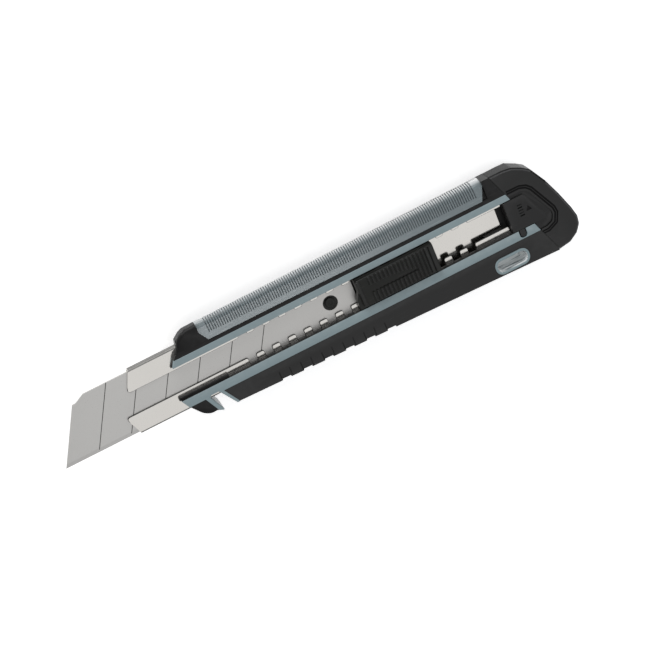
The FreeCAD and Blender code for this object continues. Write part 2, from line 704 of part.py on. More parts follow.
def make_blade():
    """The snap-off blade: scored on both faces, ground along its lower edge."""
    body = new_piece("blade")
    half = "blade_width / 2"
    shoulder = half + " - back_step"
    block(body, "blank", [
        ("0", "-" + half), ("blade_length - rear_corner", "-" + half),
        ("blade_length", "-%s + rear_corner" % half), ("blade_length", half + " - rear_corner"),
        ("blade_length - rear_corner", half), (snap_run(half) + " + 4.2", half),
        (snap_run(half) + " + 2.2", half + " - back_step / 2"),
        (snap_run(shoulder) + " + 1.3", shoulder), (snap_run(shoulder), shoulder),
    ], "blade_level", "blade_thickness")
    for name, side in (("back_grind", "-1"), ("front_grind", "1")):
        face = "blade_level + blade_thickness / 2 + %s * blade_thickness / 2" % side
        land = "blade_level + blade_thickness / 2 + %s * edge_land / 2" % side
        hollow(body, name, [
            ("-%s + edge_bevel" % half, face), ("-%s - 1" % half, face),
            ("-%s - 1" % half, land), ("-" + half, land),
        ], "-5", "blade_length + 10", "YZ_Plane")
    low, high = "-%s - 1" % half, half + " + 1"
    for name, level in (("back_score", "blade_level"), ("front_score", "blade_top - score_depth")):
        line = hollow(body, name, [
            ("segment_pitch + " + snap_run(low), low),
            ("segment_pitch + score_width + " + snap_run(low), low),
            ("segment_pitch + score_width + " + snap_run(high), high),
            ("segment_pitch + " + snap_run(high), high),
        ], level, "score_depth")
        repeat(body, line, name + "s", "segment_pitch", 6)
    round_hole(body, "pin_hole", "pin_x", "0", "blade_hole_dia", "blade_level", "blade_thickness")


# ---------------------------------------------------------------- slider
def make_blade_carrier():
    """The tongue behind the blade that pulls it by its hole, and the block behind its end."""
    body = new_piece("blade_carrier")
    arm_front = "pin_x - arm_past_pin"
    block(body, "plate", [
        (arm_front, "-carrier_arm_half"), ("carrier_block_front", "-carrier_arm_half"),
        ("carrier_block_front", "-carrier_wide"), ("carrier_rear", "-carrier_wide"),
        ("carrier_rear", "carrier_wide"), ("carrier_block_front", "carrier_wide"),
        ("carrier_block_front", "carrier_arm_half"), (arm_front, "carrier_arm_half"),
    ], "carrier_level", "carrier_plate")
    block(body, "stop_block",
          box_corners("carrier_block_front", "-carrier_wide", "carrier_rear", "carrier_wide"),
          "carrier_level + carrier_plate", "blade_top - carrier_level - carrier_plate")
    round_hole(body, "stem_hole", "pin_x", "0", "pin_stem_dia", "carrier_level", "carrier_plate")
    for index, (along, across) in enumerate(slider_rivet_places):
        round_hole(body, "rivet_hole_%d" % index, along, across, "slider_rivet_dia",
                   "carrier_level", "blade_top - carrier_level")


def make_slider_body():
    """The slider's frame: a block in the handle's slot and a neck between the rail's lips."""
    body = new_piece("slider_body")
    top = block(body, "top_block", [
        ("slider_front", "slider_high"), ("slider_front", "0"), ("slider_front - 1.5", "-2.9"),
        ("slider_front - 1.5", "slider_low"), ("slider_rear", "slider_low"),
        ("slider_rear", "slider_high"),
    ], "slider_level", "slider_top - slider_level")
    block(body, "neck", box_corners("slider_front + 3", "-lip_edge + lip_clearance",
                                    "carrier_rear", "lip_ruler - lip_clearance"),
          "blade_top", "slider_level - blade_top")
    hollow(body, "spring_pocket",
           box_corners("spring_x - spring_length / 2 - 2.5", "lip_ruler - 0.2",
                       "spring_x + spring_length / 2 - 1.5", "lip_ruler + spring_width + 0.2"),
           "slider_level", "spring_room")
    for index, (along, across) in enumerate(slider_rivet_places):
        round_hole(body, "rivet_hole_%d" % index, along, across, "slider_rivet_dia",
                   "blade_top", "slider_top - blade_top - 1")
    round_corners(body, top, (0, 4, 5), "slider_corner")


def make_thumb_pad():
    """The pad that the thumb pushes."""
    body = new_piece("thumb_pad")
    pad = block(body, "pad", box_corners("slider_front", "slider_low", "slider_rear", "slider_high"),
                "slider_top", "pad_thickness")
    round_corners(body, pad, range(4), "slider_corner")


def make_detent_spring():
    """A leaf spring in the slider whose bump drops between two of the rail's teeth."""
    body = new_piece("detent_spring")
    top = "slider_level + spring_room"
    under = top + " - spring_sheet"
    tip = "rail_top - spring_drop"
    front = "spring_x - spring_length / 2 - 2"
    rear = "spring_x + spring_length / 2 - 2"
    block(body, "leaf", [
        (front, top), (front, under), ("spring_x - 2.4", under), ("spring_x - 0.8", tip),
        ("spring_x + 0.8", tip), ("spring_x + 2.4", under), (rear, under), (rear, top),
        ("spring_x + 2.2", top), ("spring_x + 0.6", tip + " + spring_sheet"),
        ("spring_x - 0.6", tip + " + spring_sheet"), ("spring_x - 2.2", top),
    ], "-lip_ruler - spring_width", "spring_width", "XZ_Plane")


# ---------------------------------------------------------------- rear cap
cap_outline = [
    (part_line_at("-edge_side"), "-edge_side"), ("knife_length - 6.3", "-edge_side + 0.8"),
    ("knife_length - 2.5", "-edge_side + 3.2"), ("knife_length - 0.4", "-edge_side + 6.3"),
    ("knife_length", "-edge_side + 9.8"), ("knife_length - 1.2", "-edge_side + 14.2"),
    ("knife_length - 4.1", "ruler_side - 19.5"), ("knife_length - 7.4", "ruler_side - 12.0"),
    ("knife_length - 11.6", "ruler_side - 4.8"), ("knife_length - 14.4", "ruler_side - 2.7"),
    ("knife_length - 18.6", "ruler_side - 0.6"), ("knife_length - 22.6", "ruler_side"),
    (part_line_at("ruler_side"), "ruler_side"),
]
plug_window = [
    (part_line_at("-slot_edge - 3.6"), "-slot_edge - 3.6"),
    ("knife_length - 13.2", "-slot_edge - 3.6"), ("knife_length - 10.4", "-slot_edge - 2.4"),
    ("knife_length - 9.3", "-slot_edge + 0.4"), ("knife_length - 9.6", "-slot_edge + 2.2"),
    ("knife_length - 15.4", "slot_ruler - 0.7"), ("knife_length - 16.7", "slot_ruler + 0.6"),
    ("knife_length - 18.8", "slot_ruler + 1.4"), (part_line_at("slot_ruler + 1.4"), "slot_ruler + 1.4"),
]
prong_level = "carrier_level + 0.05"
root_rear = "plug_front + prong_root"


def make_end_cap():
    """The soft rear cap, open at the front for the plug."""
    body = new_piece("end_cap")
    block(body, "cap_block", cap_outline, "0", "grip_level")
    hollow(body, "plug_window", plug_window, prong_level + " + prong_depth", "face_level")
    hollow(body, "plug_root", box_corners("prong_front", "-carrier_wide", root_rear, "carrier_wide"),
           prong_level, "prong_depth")
    rim = ["Edge%d" % index for index, edge in enumerate(body.Tip.Shape.Edges, start=1)
           if edge.BoundBox.ZMax < 1e-3 and edge.BoundBox.YLength < 30]
    dress(body, "Chamfer", "back_chamfer", rim, "Size", "cap_bevel")
    cut_back_bevel(body)


def make_end_plug():
    """The hard plug that closes the rail, with two prongs that slide in behind its lips."""
    body = new_piece("end_plug")
    block(body, "prong_plate", [
        ("prong_front", "-carrier_wide"), (root_rear, "-carrier_wide"), (root_rear, "carrier_wide"),
        ("prong_front", "carrier_wide"), ("prong_front", "prong_in"), ("plug_front", "prong_in"),
        ("plug_front", "-prong_in"), ("prong_front", "-prong_in"),
    ], prong_level, "prong_depth")
    base = "(%s + prong_depth)" % prong_level
    rise = "plug_level - " + base
    block(body, "tongue", box_corners("plug_front", "-slot_edge + 0.2",
                                      part_line_at("slot_ruler") + " + 2", "slot_ruler - 0.2"),
          base, rise)
    block(body, "window_block", plug_window, base, rise)
    block(body, "raised_pad", [
        ("plug_front", "-slot_edge + 0.3"), ("knife_length - 12.4", "-slot_edge + 0.3"),
        ("knife_length - 12.3", "-slot_edge + 2.2"), ("knife_length - 17.0", "slot_ruler - 1.9"),
        ("knife_length - 18.2", "slot_ruler - 0.3"), ("plug_front", "slot_ruler - 0.3"),
    ], "plug_level", "plug_rise")
    hollow(body, "latch_room",
           box_corners("latch_front - 0.1", "-slot_edge - 5", "latch_front + latch_width + 0.1",
                       "-slot_edge + 5.1"), "skin_level - 0.3", "1.1")


def make_plug_latch():
    """The springy finger of the plug that clicks into the notch in the lower bezel."""
    body = new_piece("plug_latch")
    rear = "latch_front + latch_width"
    root = "-slot_edge + 0.2"
    block(body, "arm", box_corners("latch_front", root, rear, "-slot_edge + 5"),
          "skin_level - 0.2", "0.9")
    block(body, "finger", [
        ("latch_front", "-latch_reach + 0.8"), ("latch_front + 0.7", "-latch_reach"),
        (rear + " - 0.7", "-latch_reach"), (rear, "-latch_reach + 0.8"), (rear, root),
        ("latch_front", root),
    ], "skin_level + 0.1", "bezel_thickness - 0.2")


make_core_frame()
make_back_shell()
make_back_grip()
make_upper_bezel()
make_lower_bezel()
make_nose_grip()
make_hook_grip()
make_lower_grip()
make_ruler_layer("ruler_scale", "cover_wall", "cover_wall + scale_wall")
make_ruler_layer("ruler_cover", "0", "cover_wall")
make_lanyard_eyelet()
make_casing_screws()
make_rail()
make_rail_rivets()
make_blade()
make_blade_carrier()
make_carrier_pin()
make_slider_body()
make_slider_rivets()
make_thumb_pad()
make_detent_spring()
make_end_cap()
make_end_plug()
make_plug_latch()
doc.recompute()

for item in doc.Objects:
    if "Invalid" in item.State or "Error" in item.State:
        raise RuntimeError("%s did not build: %s" % (item.Label, item.State))
for piece in pieces:
    if piece.Shape.isNull() or not piece.Shape.isValid():
        raise RuntimeError("%s has no valid shape" % piece.Label)

os.makedirs("parts", exist_ok=True)
for piece in pieces:
    piece.Shape.exportStep("parts/%s.step" % piece.Label)
    box = piece.Shape.BoundBox
    print("%-16s solids %d  x %.2f..%.2f  y %.2f..%.2f  z %.2f..%.2f" % (
        piece.Label, len(piece.Shape.Solids), box.XMin, box.XMax, box.YMin, box.YMax,
        box.ZMin, box.ZMax))
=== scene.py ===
import bmesh
import bpy
import math
from mathutils import Matrix, Vector


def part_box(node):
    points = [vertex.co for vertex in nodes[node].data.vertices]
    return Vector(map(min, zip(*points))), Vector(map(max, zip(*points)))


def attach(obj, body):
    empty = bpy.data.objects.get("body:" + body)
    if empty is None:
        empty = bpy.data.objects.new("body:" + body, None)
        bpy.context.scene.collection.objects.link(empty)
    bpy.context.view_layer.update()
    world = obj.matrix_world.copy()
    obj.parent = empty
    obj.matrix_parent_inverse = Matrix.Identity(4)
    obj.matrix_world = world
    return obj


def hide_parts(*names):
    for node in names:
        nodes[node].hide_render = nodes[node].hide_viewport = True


# Snap-off utility knife: ground blade, bright rail, soft black grips and blue-grey trim.
# Sizes below are in millimetres, and mm turns them into the scene's metres.
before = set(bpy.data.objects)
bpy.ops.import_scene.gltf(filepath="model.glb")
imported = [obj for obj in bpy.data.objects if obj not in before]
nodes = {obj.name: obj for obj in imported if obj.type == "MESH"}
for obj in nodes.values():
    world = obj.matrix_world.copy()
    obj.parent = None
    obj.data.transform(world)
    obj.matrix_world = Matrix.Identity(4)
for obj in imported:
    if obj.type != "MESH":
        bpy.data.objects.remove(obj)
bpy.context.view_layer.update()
scene = bpy.context.scene
mm = 0.001


# Working on a mesh the way it is done by hand
def openMesh(piece, kind):
    bpy.ops.object.select_all(action="DESELECT")
    piece.select_set(True)
    bpy.context.view_layer.objects.active = piece
    bpy.ops.object.mode_set(mode="EDIT")
    bpy.ops.mesh.select_mode(type=kind)
    bpy.ops.mesh.select_all(action="DESELECT")
    return bmesh.from_edit_mesh(piece.data)


def closeMesh():
    bpy.ops.object.mode_set(mode="OBJECT")


def startBlock(name, low, high):
    bpy.ops.object.select_all(action="DESELECT")
    middle = [(a + b) / 2 * mm for a, b in zip(low, high)]
    bpy.ops.mesh.primitive_cube_add(size=1, location=middle)
    piece = bpy.context.active_object
    piece.name = name
    piece.scale = [(b - a) * mm for a, b in zip(low, high)]
    bpy.ops.object.transform_apply(location=True, rotation=True, scale=True)
    return piece


def startDisc(name, centre, radius, low, high, sides):
    bpy.ops.object.select_all(action="DESELECT")
    bpy.ops.mesh.primitive_cylinder_add(
        vertices=sides, radius=radius * mm, depth=(high - low) * mm,
        location=(centre[0] * mm, centre[1] * mm, (low + high) / 2 * mm))
    piece = bpy.context.active_object
    piece.name = name
    bpy.ops.object.transform_apply(location=True, rotation=True, scale=True)
    return piece


def startFromNode(node, name):
    # A welded copy of a frame node, to soften and detail.
    source = nodes[node]
    piece = bpy.data.objects.new(name, source.data.copy())
    scene.collection.objects.link(piece)
    openMesh(piece, "VERT")
    bpy.ops.mesh.select_all(action="SELECT")
    bpy.ops.mesh.remove_doubles(threshold=0.000002)
    bpy.ops.mesh.dissolve_limited(angle_limit=math.radians(0.6))
    closeMesh()
    return piece


def sliceOff(piece, point, outward):
    # Cut the piece on a plane, drop what lies outward of it and close the cut.
    openMesh(piece, "FACE")
    bpy.ops.mesh.select_all(action="SELECT")
    bpy.ops.mesh.bisect(plane_co=[c * mm for c in point], plane_no=outward,
                        use_fill=True, clear_outer=True)
    closeMesh()


def sliceToOutline(piece, corners):
    # Trim an upright block to a convex outline, given anticlockwise from above.
    for start, end in zip(corners, corners[1:] + corners[:1]):
        along = Vector((end[0] - start[0], end[1] - start[1], 0)).normalized()
        sliceOff(piece, (start[0], start[1], 0), (along.y, -along.x, 0))


def roundEdges(piece, width, steps, choose):
    # Bevel the edges for which choose(lowEnd, highEnd, edge) says yes.
    mesh = openMesh(piece, "EDGE")
    chosen = 0
    for edge in mesh.edges:
        ends = sorted((v.co / mm for v in edge.verts), key=lambda p: (p.z, p.x, p.y))
        if choose(ends[0], ends[1], edge):
            edge.select_set(True)
            chosen += 1
    bmesh.update_edit_mesh(piece.data)
    if chosen:
        bpy.ops.mesh.bevel(offset=width * mm, segments=steps, profile=0.5, affect="EDGES",
                           clamp_overlap=True)
    closeMesh()


def isUpright(low, high):
    return abs(low.x - high.x) + abs(low.y - high.y) < 0.01


def addModifier(piece, kind, **settings):
    bpy.ops.object.select_all(action="DESELECT")
    piece.select_set(True)
    bpy.context.view_layer.objects.active = piece
    modifier = piece.modifiers.new(kind.lower(), kind)
    for name, value in settings.items():
        setattr(modifier, name, value)
    bpy.ops.object.modifier_apply(modifier=modifier.name)


def softenEdges(piece, width, steps, angle=35):
    addModifier(piece, "BEVEL", width=width * mm, segments=steps, limit_method="ANGLE",
                angle_limit=math.radians(angle), use_clamp_overlap=True)


def carve(piece, tool):
    addModifier(piece, "BOOLEAN", operation="DIFFERENCE", object=tool, solver="EXACT")
    bpy.data.objects.remove(tool)


def repeatAlong(piece, step, count):
    addModifier(piece, "ARRAY", use_relative_offset=False, use_constant_offset=True,
                constant_offset_displace=[s * mm for s in step], count=count)


def joinPieces(first, others):
    bpy.ops.object.select_all(action="DESELECT")
    for piece in [first] + others:
        piece.select_set(True)
    bpy.context.view_layer.objects.active = first
    bpy.ops.object.join()
    return first


def assignWhere(piece, material, choose):
    # Give a second material to the faces for which choose(middle, normal) says yes.
    piece.data.materials.append(material)
    for face in piece.data.polygons:
        if choose(face.center / mm, face.normal):
            face.material_index = len(piece.data.materials) - 1


def fitOut(piece, material, body, replaced=(), smoothAngle=32):
    # Smooth the piece, give it its material and finish, and let it ride on its body.
    bpy.ops.object.select_all(action="DESELECT")
    piece.select_set(True)
    bpy.context.view_layer.objects.active = piece
    bpy.ops.object.shade_smooth_by_angle(angle=math.radians(smoothAngle))
    addModifier(piece, "WEIGHTED_NORMAL", keep_sharp=True, weight=60)
    piece.data.materials.clear()
    piece.data.materials.append(material)
    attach(piece, body)
    if replaced:
        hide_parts(*replaced)


# Shared surface effects
def newGroup(name, inputs, outputs):
    group = bpy.data.node_groups.new(name, "ShaderNodeTree")
    for label, value in inputs:
        socket = group.interface.new_socket(name=label, in_out="INPUT",
                                            socket_type="NodeSocketFloat")
        socket.default_value = value
    for label in outputs:
        group.interface.new_socket(name=label, in_out="OUTPUT", socket_type="NodeSocketFloat")
    return group, group.nodes.new("NodeGroupInput"), group.nodes.new("NodeGroupOutput")


def addMath(tree, operation, first, second, clamp=False):
    node = tree.nodes.new("ShaderNodeMath")
    node.operation = operation
    node.use_clamp = clamp
    for socket, value in zip(node.inputs, (first, second)):
        if isinstance(value, (int, float)):
            socket.default_value = value
        else:
            tree.links.new(value, socket)
    return node.outputs[0]


def addNoise(tree, coords, scale, detail=2.0):
    node = tree.nodes.new("ShaderNodeTexNoise")
    node.inputs["Detail"].default_value = detail
    tree.links.new(coords, node.inputs["Vector"])
    if isinstance(scale, (int, float)):
        node.inputs["Scale"].default_value = scale
    else:
        tree.links.new(scale, node.inputs["Scale"])
    return node.outputs["Fac"]


def addStretch(tree, coords, scale):
    node = tree.nodes.new("ShaderNodeMapping")
    node.inputs["Scale"].default_value = scale
    tree.links.new(coords, node.inputs["Vector"])
    return node.outputs["Vector"]


def buildMouldGrain():
    # Fine spark-eroded grain, broad tone patches and thin handling scuffs.
    group, given, out = newGroup("mouldGrain", [("Grain Scale", 3000.0), ("Scuff Reach", 0.6)],
                                 ["Grain", "Patch", "Scuff"])
    coords = group.nodes.new("ShaderNodeTexCoord").outputs["Object"]
    grain = addNoise(group, coords, given.outputs["Grain Scale"], 3.0)
    patch = addNoise(group, coords, 55.0, 3.0)
    streaks = addNoise(group, addStretch(group, coords, (120.0, 1500.0, 900.0)), 1.0, 4.0)
    scuff = addMath(group, "SUBTRACT", streaks, given.outputs["Scuff Reach"], True)
    scuff = addMath(group, "MULTIPLY", scuff, 6.0, True)
    group.links.new(grain, out.inputs["Grain"])
    group.links.new(patch, out.inputs["Patch"])
    group.links.new(scuff, out.inputs["Scuff"])
    return group


def buildEdgeWear():
    # Where corners have been rubbed: convex edges broken up by noise.
    group, given, out = newGroup("edgeWear", [("Amount", 0.5), ("Breakup", 400.0)], ["Mask"])
    point = group.nodes.new("ShaderNodeNewGeometry").outputs["Pointiness"]
    coords = group.nodes.new("ShaderNodeTexCoord").outputs["Object"]
    ridge = addMath(group, "MULTIPLY", addMath(group, "SUBTRACT", point, 0.52, True), 14.0, True)
    noise = addNoise(group, coords, given.outputs["Breakup"], 3.0)
    broken = addMath(group, "MULTIPLY", ridge, noise)
    group.links.new(addMath(group, "MULTIPLY", broken, given.outputs["Amount"], True),
                    out.inputs["Mask"])
    return group


def buildGroundLines():
    # Straight grinding or rolling lines, with faint smears across the sheet.
    group, given, out = newGroup("groundLines", [("Line Scale", 1.0), ("Smear Scale", 40.0)],
                                 ["Lines", "Smear", "Specks"])
    coords = group.nodes.new("ShaderNodeTexCoord").outputs["Object"]
    stretched = addStretch(group, coords, (90.0, 5200.0, 5200.0))
    group.links.new(addNoise(group, stretched, given.outputs["Line Scale"], 2.0),
                    out.inputs["Lines"])
    group.links.new(addNoise(group, coords, given.outputs["Smear Scale"], 3.0),
                    out.inputs["Smear"])
    fine = addNoise(group, coords, 2600.0, 2.0)
    specks = addMath(group, "MULTIPLY", addMath(group, "SUBTRACT", fine, 0.63, True), 5.0, True)
    group.links.new(specks, out.inputs["Specks"])
    return group


mouldGrain = buildMouldGrain()
edgeWear = buildEdgeWear()
groundLines = buildGroundLines()


def newMaterial(name):
    material = bpy.data.materials.new(name)
    material.use_nodes = True
    tree = material.node_tree
    return material, tree, tree.nodes["Principled BSDF"]


def addGroup(tree, group, **values):
    node = tree.nodes.new("ShaderNodeGroup")
    node.node_tree = group
    for label, value in values.items():
        node.inputs[label.replace("_", " ")].default_value = value
    return node


def mixColour(tree, factor, first, second):
    node = tree.nodes.new("ShaderNodeMix")
    node.data_type = "RGBA"
    colourInputs = [s for s in node.inputs if s.type == "RGBA"]
    tree.links.new(factor, node.inputs[0])
    for socket, value in zip(colourInputs, (first, second)):
        if isinstance(value, tuple):
            socket.default_value = value + (1.0,)
        else:
            tree.links.new(value, socket)
    return [s for s in node.outputs if s.type == "RGBA"][0]


def addBump(tree, height, strength, distance):
    node = tree.nodes.new("ShaderNodeBump")
    node.inputs["Strength"].default_value = strength
    node.inputs["Distance"].default_value = distance
    tree.links.new(height, node.inputs["Height"])
    return node.outputs["Normal"]


def makePlastic(name, look):
    # Moulded plastic or soft grip: grain, tone patches, scuffs and rubbed corners.
    material, tree, shader = newMaterial(name)
    grain = addGroup(tree, mouldGrain, Grain_Scale=look["grainScale"],
                     Scuff_Reach=look["scuffReach"])
    wear = addGroup(tree, edgeWear, Amount=look["wear"])
    colour = mixColour(tree, grain.outputs["Patch"], look["dark"], look["light"])
    colour = mixColour(tree, grain.outputs["Scuff"], colour, look["scuff"])
    colour = mixColour(tree, wear.outputs["Mask"], colour, look["worn"])
    tree.links.new(colour, shader.inputs["Base Color"])
    rough = addMath(tree, "MULTIPLY_ADD", grain.outputs["Patch"], look["roughSpread"])
    rough.node.inputs[2].default_value = look["rough"] - look["roughSpread"] / 2
    tree.links.new(rough, shader.inputs["Roughness"])
    shader.inputs["Specular IOR Level"].default_value = look["specular"]
    if look.get("coat"):
        shader.inputs["Coat Weight"].default_value = look["coat"]
        shader.inputs["Coat Roughness"].default_value = look["coatRough"]
    tree.links.new(addBump(tree, grain.outputs["Grain"], look["bump"], 0.00012),
                   shader.inputs["Normal"])
    return material


softGripLook = {"dark": (0.0105, 0.0105, 0.0105), "light": (0.016, 0.016, 0.0155),
                "scuff": (0.026, 0.026, 0.026), "worn": (0.045, 0.045, 0.045),
                "grainScale": 3600.0, "scuffReach": 0.62, "wear": 0.5, "rough": 0.42,
                "roughSpread": 0.12, "specular": 0.36, "bump": 0.3}
noseLook = dict(softGripLook, dark=(0.004, 0.004, 0.004), light=(0.0065, 0.0065, 0.0065),
                rough=0.36, specular=0.18)
coreLook = dict(noseLook, dark=(0.005, 0.005, 0.005), light=(0.008, 0.008, 0.008),
                rough=0.3, bump=0.15)
shellLook = dict(softGripLook, dark=(0.012, 0.0125, 0.0135), light=(0.018, 0.019, 0.0205),
                 rough=0.4, bump=0.3)
sliderLook = dict(softGripLook, dark=(0.0045, 0.005, 0.0036), light=(0.007, 0.0075, 0.0056),
                  rough=0.32, bump=0.2, specular=0.3)
blueGreyLook = {"dark": (0.2, 0.262, 0.28), "light": (0.235, 0.305, 0.325),
                "scuff": (0.27, 0.335, 0.35), "worn": (0.4, 0.46, 0.47), "grainScale": 2600.0,
                "scuffReach": 0.6, "wear": 0.6, "rough": 0.42, "roughSpread": 0.12,
                "specular": 0.36, "bump": 0.16}
plugLook = dict(softGripLook, dark=(0.009, 0.009, 0.009), light=(0.0135, 0.0135, 0.0135),
                rough=0.38, bump=0.2, specular=0.34)
noseBlack = makePlastic("noseBlack", noseLook)
softGrip = makePlastic("softGrip", softGripLook)
coreBlack = makePlastic("coreBlack", coreLook)
shellBlack = makePlastic("shellBlack", shellLook)
sliderBlack = makePlastic("sliderBlack", sliderLook)
plugBlack = makePlastic("plugBlack", plugLook)
blueGrey = makePlastic("blueGrey", blueGreyLook)
# Painted shade: a near-black, dull plastic for the walls of the slot, the pressed lines and the
# gaps, which darkens them as shade would.
paintedSlotShade = makePlastic("paintedSlotShade", dict(coreLook, dark=(0.004, 0.004, 0.004), specular=0.08,
                                        light=(0.006, 0.006, 0.006), rough=0.5))
# Painted shade: the cap's side walls in a darker, duller copy of the grip plastic.
paintedCapSideShade = makePlastic("paintedCapSideShade", dict(softGripLook, dark=(0.004, 0.004, 0.004), specular=0.12,
                                      light=(0.007, 0.007, 0.007), rough=0.3))
# Painted highlight: a lighter, glossier grey for the rounding of the cap's rim.
rimGlint = makePlastic("rimGlint", dict(softGripLook, dark=(0.03, 0.03, 0.031), rough=0.28,
                                        light=(0.05, 0.05, 0.052), specular=0.6))
# Painted highlight: the blue-grey made pale, as if lit, for the lining of the cord notch.
paintedLitWall = makePlastic("paintedLitWall", dict(blueGreyLook, dark=(0.55, 0.6, 0.62), rough=0.3,
                                        light=(0.7, 0.75, 0.77)))


def makeSteel(name, look):
    # Sheet steel: fine straight lines in the finish, smears and a few dark specks.
    material, tree, shader = newMaterial(name)
    lines = addGroup(tree, groundLines, Line_Scale=look["lineScale"],
                     Smear_Scale=look["smearScale"])
    wear = addGroup(tree, edgeWear, Amount=look["wear"])
    colour = mixColour(tree, lines.outputs["Smear"], look["dark"], look["light"])
    colour = mixColour(tree, lines.outputs["Specks"], colour, look["speck"])
    colour = mixColour(tree, wear.outputs["Mask"], colour, look["worn"])
    tree.links.new(colour, shader.inputs["Base Color"])
    shader.inputs["Metallic"].default_value = look["metallic"]
    rough = addMath(tree, "MULTIPLY_ADD", lines.outputs["Lines"], look["roughSpread"])
    rough.node.inputs[2].default_value = look["rough"] - look["roughSpread"] / 2
    tree.links.new(rough, shader.inputs["Roughness"])
    tree.links.new(addBump(tree, lines.outputs["Lines"], look["bump"], 0.00003),
                   shader.inputs["Normal"])
    return material


bladeLook = {"dark": (0.56, 0.55, 0.53), "light": (0.62, 0.61, 0.59),
             "speck": (0.36, 0.355, 0.34), "worn": (0.62, 0.62, 0.6), "lineScale": 1.0,
             "smearScale": 30.0, "wear": 0.3, "metallic": 0.85, "rough": 0.4,
             "roughSpread": 0.16, "bump": 0.1}
railLook = {"dark": (0.77, 0.745, 0.70), "light": (0.84, 0.815, 0.77),
            "speck": (0.66, 0.65, 0.62), "worn": (0.9, 0.9, 0.88), "lineScale": 0.6,
            "smearScale": 24.0, "wear": 0.2, "metallic": 1.0, "rough": 0.14,
            "roughSpread": 0.06, "bump": 0.04}
# The folds are duller steel, and their dark colour is painted shade.
railSideDullAndShadedLook = dict(railLook, dark=(0.1, 0.097, 0.09), light=(0.16, 0.155, 0.147), rough=0.5,
                    metallic=0.4)
screwLook = dict(railLook, dark=(0.42, 0.42, 0.42), light=(0.52, 0.52, 0.52), rough=0.28)
# Painted shade: near-black steel for the lips' edges, as the dark line of shade along them.
paintedEdgeShadeLook = dict(bladeLook, dark=(0.012, 0.012, 0.011), light=(0.025, 0.024, 0.022),
                   speck=(0.01, 0.01, 0.01), worn=(0.05, 0.05, 0.05), rough=0.5, metallic=0.2)
bladeSteel = makeSteel("bladeSteel", bladeLook)
paintedEdgeShade = makeSteel("paintedEdgeShade", paintedEdgeShadeLook)
# Painted shade: dark steel for the blade's score lines.
paintedScoreShade = makeSteel("paintedScoreShade", dict(paintedEdgeShadeLook, dark=(0.04, 0.04, 0.038),
                                        light=(0.07, 0.068, 0.064)))
railSteel = makeSteel("railSteel", railLook)
railSideDullAndShaded = makeSteel("railSideDullAndShaded", railSideDullAndShadedLook)
screwSteel = makeSteel("screwSteel", screwLook)


def addFade(tree, axis, start, end):
    # Rises from 0 at the start to 1 at the end, both in millimetres along one axis.
    parts = tree.nodes.new("ShaderNodeSeparateXYZ")
    tree.links.new(tree.nodes.new("ShaderNodeTexCoord").outputs["Object"], parts.inputs[0])
    fade = tree.nodes.new("ShaderNodeMapRange")
    fade.inputs["From Min"].default_value = start * mm
    fade.inputs["From Max"].default_value = end * mm
    tree.links.new(parts.outputs[axis], fade.inputs["Value"])
    return fade.outputs["Result"]


def makeClearCover(name, look):
    # Clear moulded cover with faint haze and fine scratches, painted paler down its skirt as a
    # painted highlight.
    material, tree, shader = newMaterial(name)
    grain = addGroup(tree, mouldGrain, Grain_Scale=look["grainScale"], Scuff_Reach=0.6)
    colour = mixColour(tree, grain.outputs["Scuff"], look["tint"], look["haze"])
    # Painted highlight: the colour fades to a pale tone down the skirt.
    fade = addFade(tree, "Z", look["paintedLightToneFrom"], look["paintedLightToneTo"])
    colour = mixColour(tree, fade, colour, look["paintedLightTone"])
    tree.links.new(colour, shader.inputs["Base Color"])
    shader.inputs["Transmission Weight"].default_value = look["clear"]
    shader.inputs["IOR"].default_value = 1.49
    rough = addMath(tree, "MULTIPLY_ADD", grain.outputs["Patch"], 0.06)
    rough.node.inputs[2].default_value = look["rough"]
    tree.links.new(rough, shader.inputs["Roughness"])
    tree.links.new(addBump(tree, grain.outputs["Patch"], 0.1, 0.0001), shader.inputs["Normal"])
    return material


clearCoverLook = {"tint": (0.23, 0.275, 0.29), "haze": (0.38, 0.44, 0.46), "clear": 0.35,
                  "paintedLightTone": (0.98, 0.99, 0.99), "paintedLightToneFrom": 15.1, "paintedLightToneTo": 12.5,
                  "rough": 0.12, "grainScale": 900.0}
clearCover = makeClearCover("clearCover", clearCoverLook)
grooveShade = makeClearCover("grooveShade", dict(clearCoverLook, tint=(0.045, 0.06, 0.066),
                                                 haze=(0.07, 0.09, 0.1), clear=0.05, rough=0.3,
                                                 paintedLightTone=(0.13, 0.15, 0.16)))
scaleBlue = makePlastic("scaleBlue", dict(blueGreyLook, dark=(0.15, 0.2, 0.215), scuffReach=0.8,
                                          light=(0.19, 0.25, 0.265), rough=0.5))
tickInk = makePlastic("tickInk", dict(blueGreyLook, dark=(0.055, 0.072, 0.08),
                                      light=(0.075, 0.096, 0.105), rough=0.5))
print("materials ready")

# Nodes that keep their shape
carried = {
    "core_frame": coreBlack, "ruler_scale": scaleBlue, "casing_screws": screwSteel,
    "rail_rivets": screwSteel, "blade_carrier": sliderBlack,
    "slider_rivets": screwSteel, "detent_spring": screwSteel,
}
for node, material in carried.items():
    nodes[node].data.materials.clear()
    nodes[node].data.materials.append(material)

# Rail and blade
railShape = {"middle": 2.05, "tongueEnd": -70, "tongueCorner": 1.7, "toothCorner": 0.7,
             "cornerHeight": 0.7, "lipReach": 8.5, "lipEdge": 0.16, "sheet": 0.5, "foldFrom": 12.0}
bladeShape = {"bevelTop": -8.6, "scoreRange": (0.02, 0.2)}


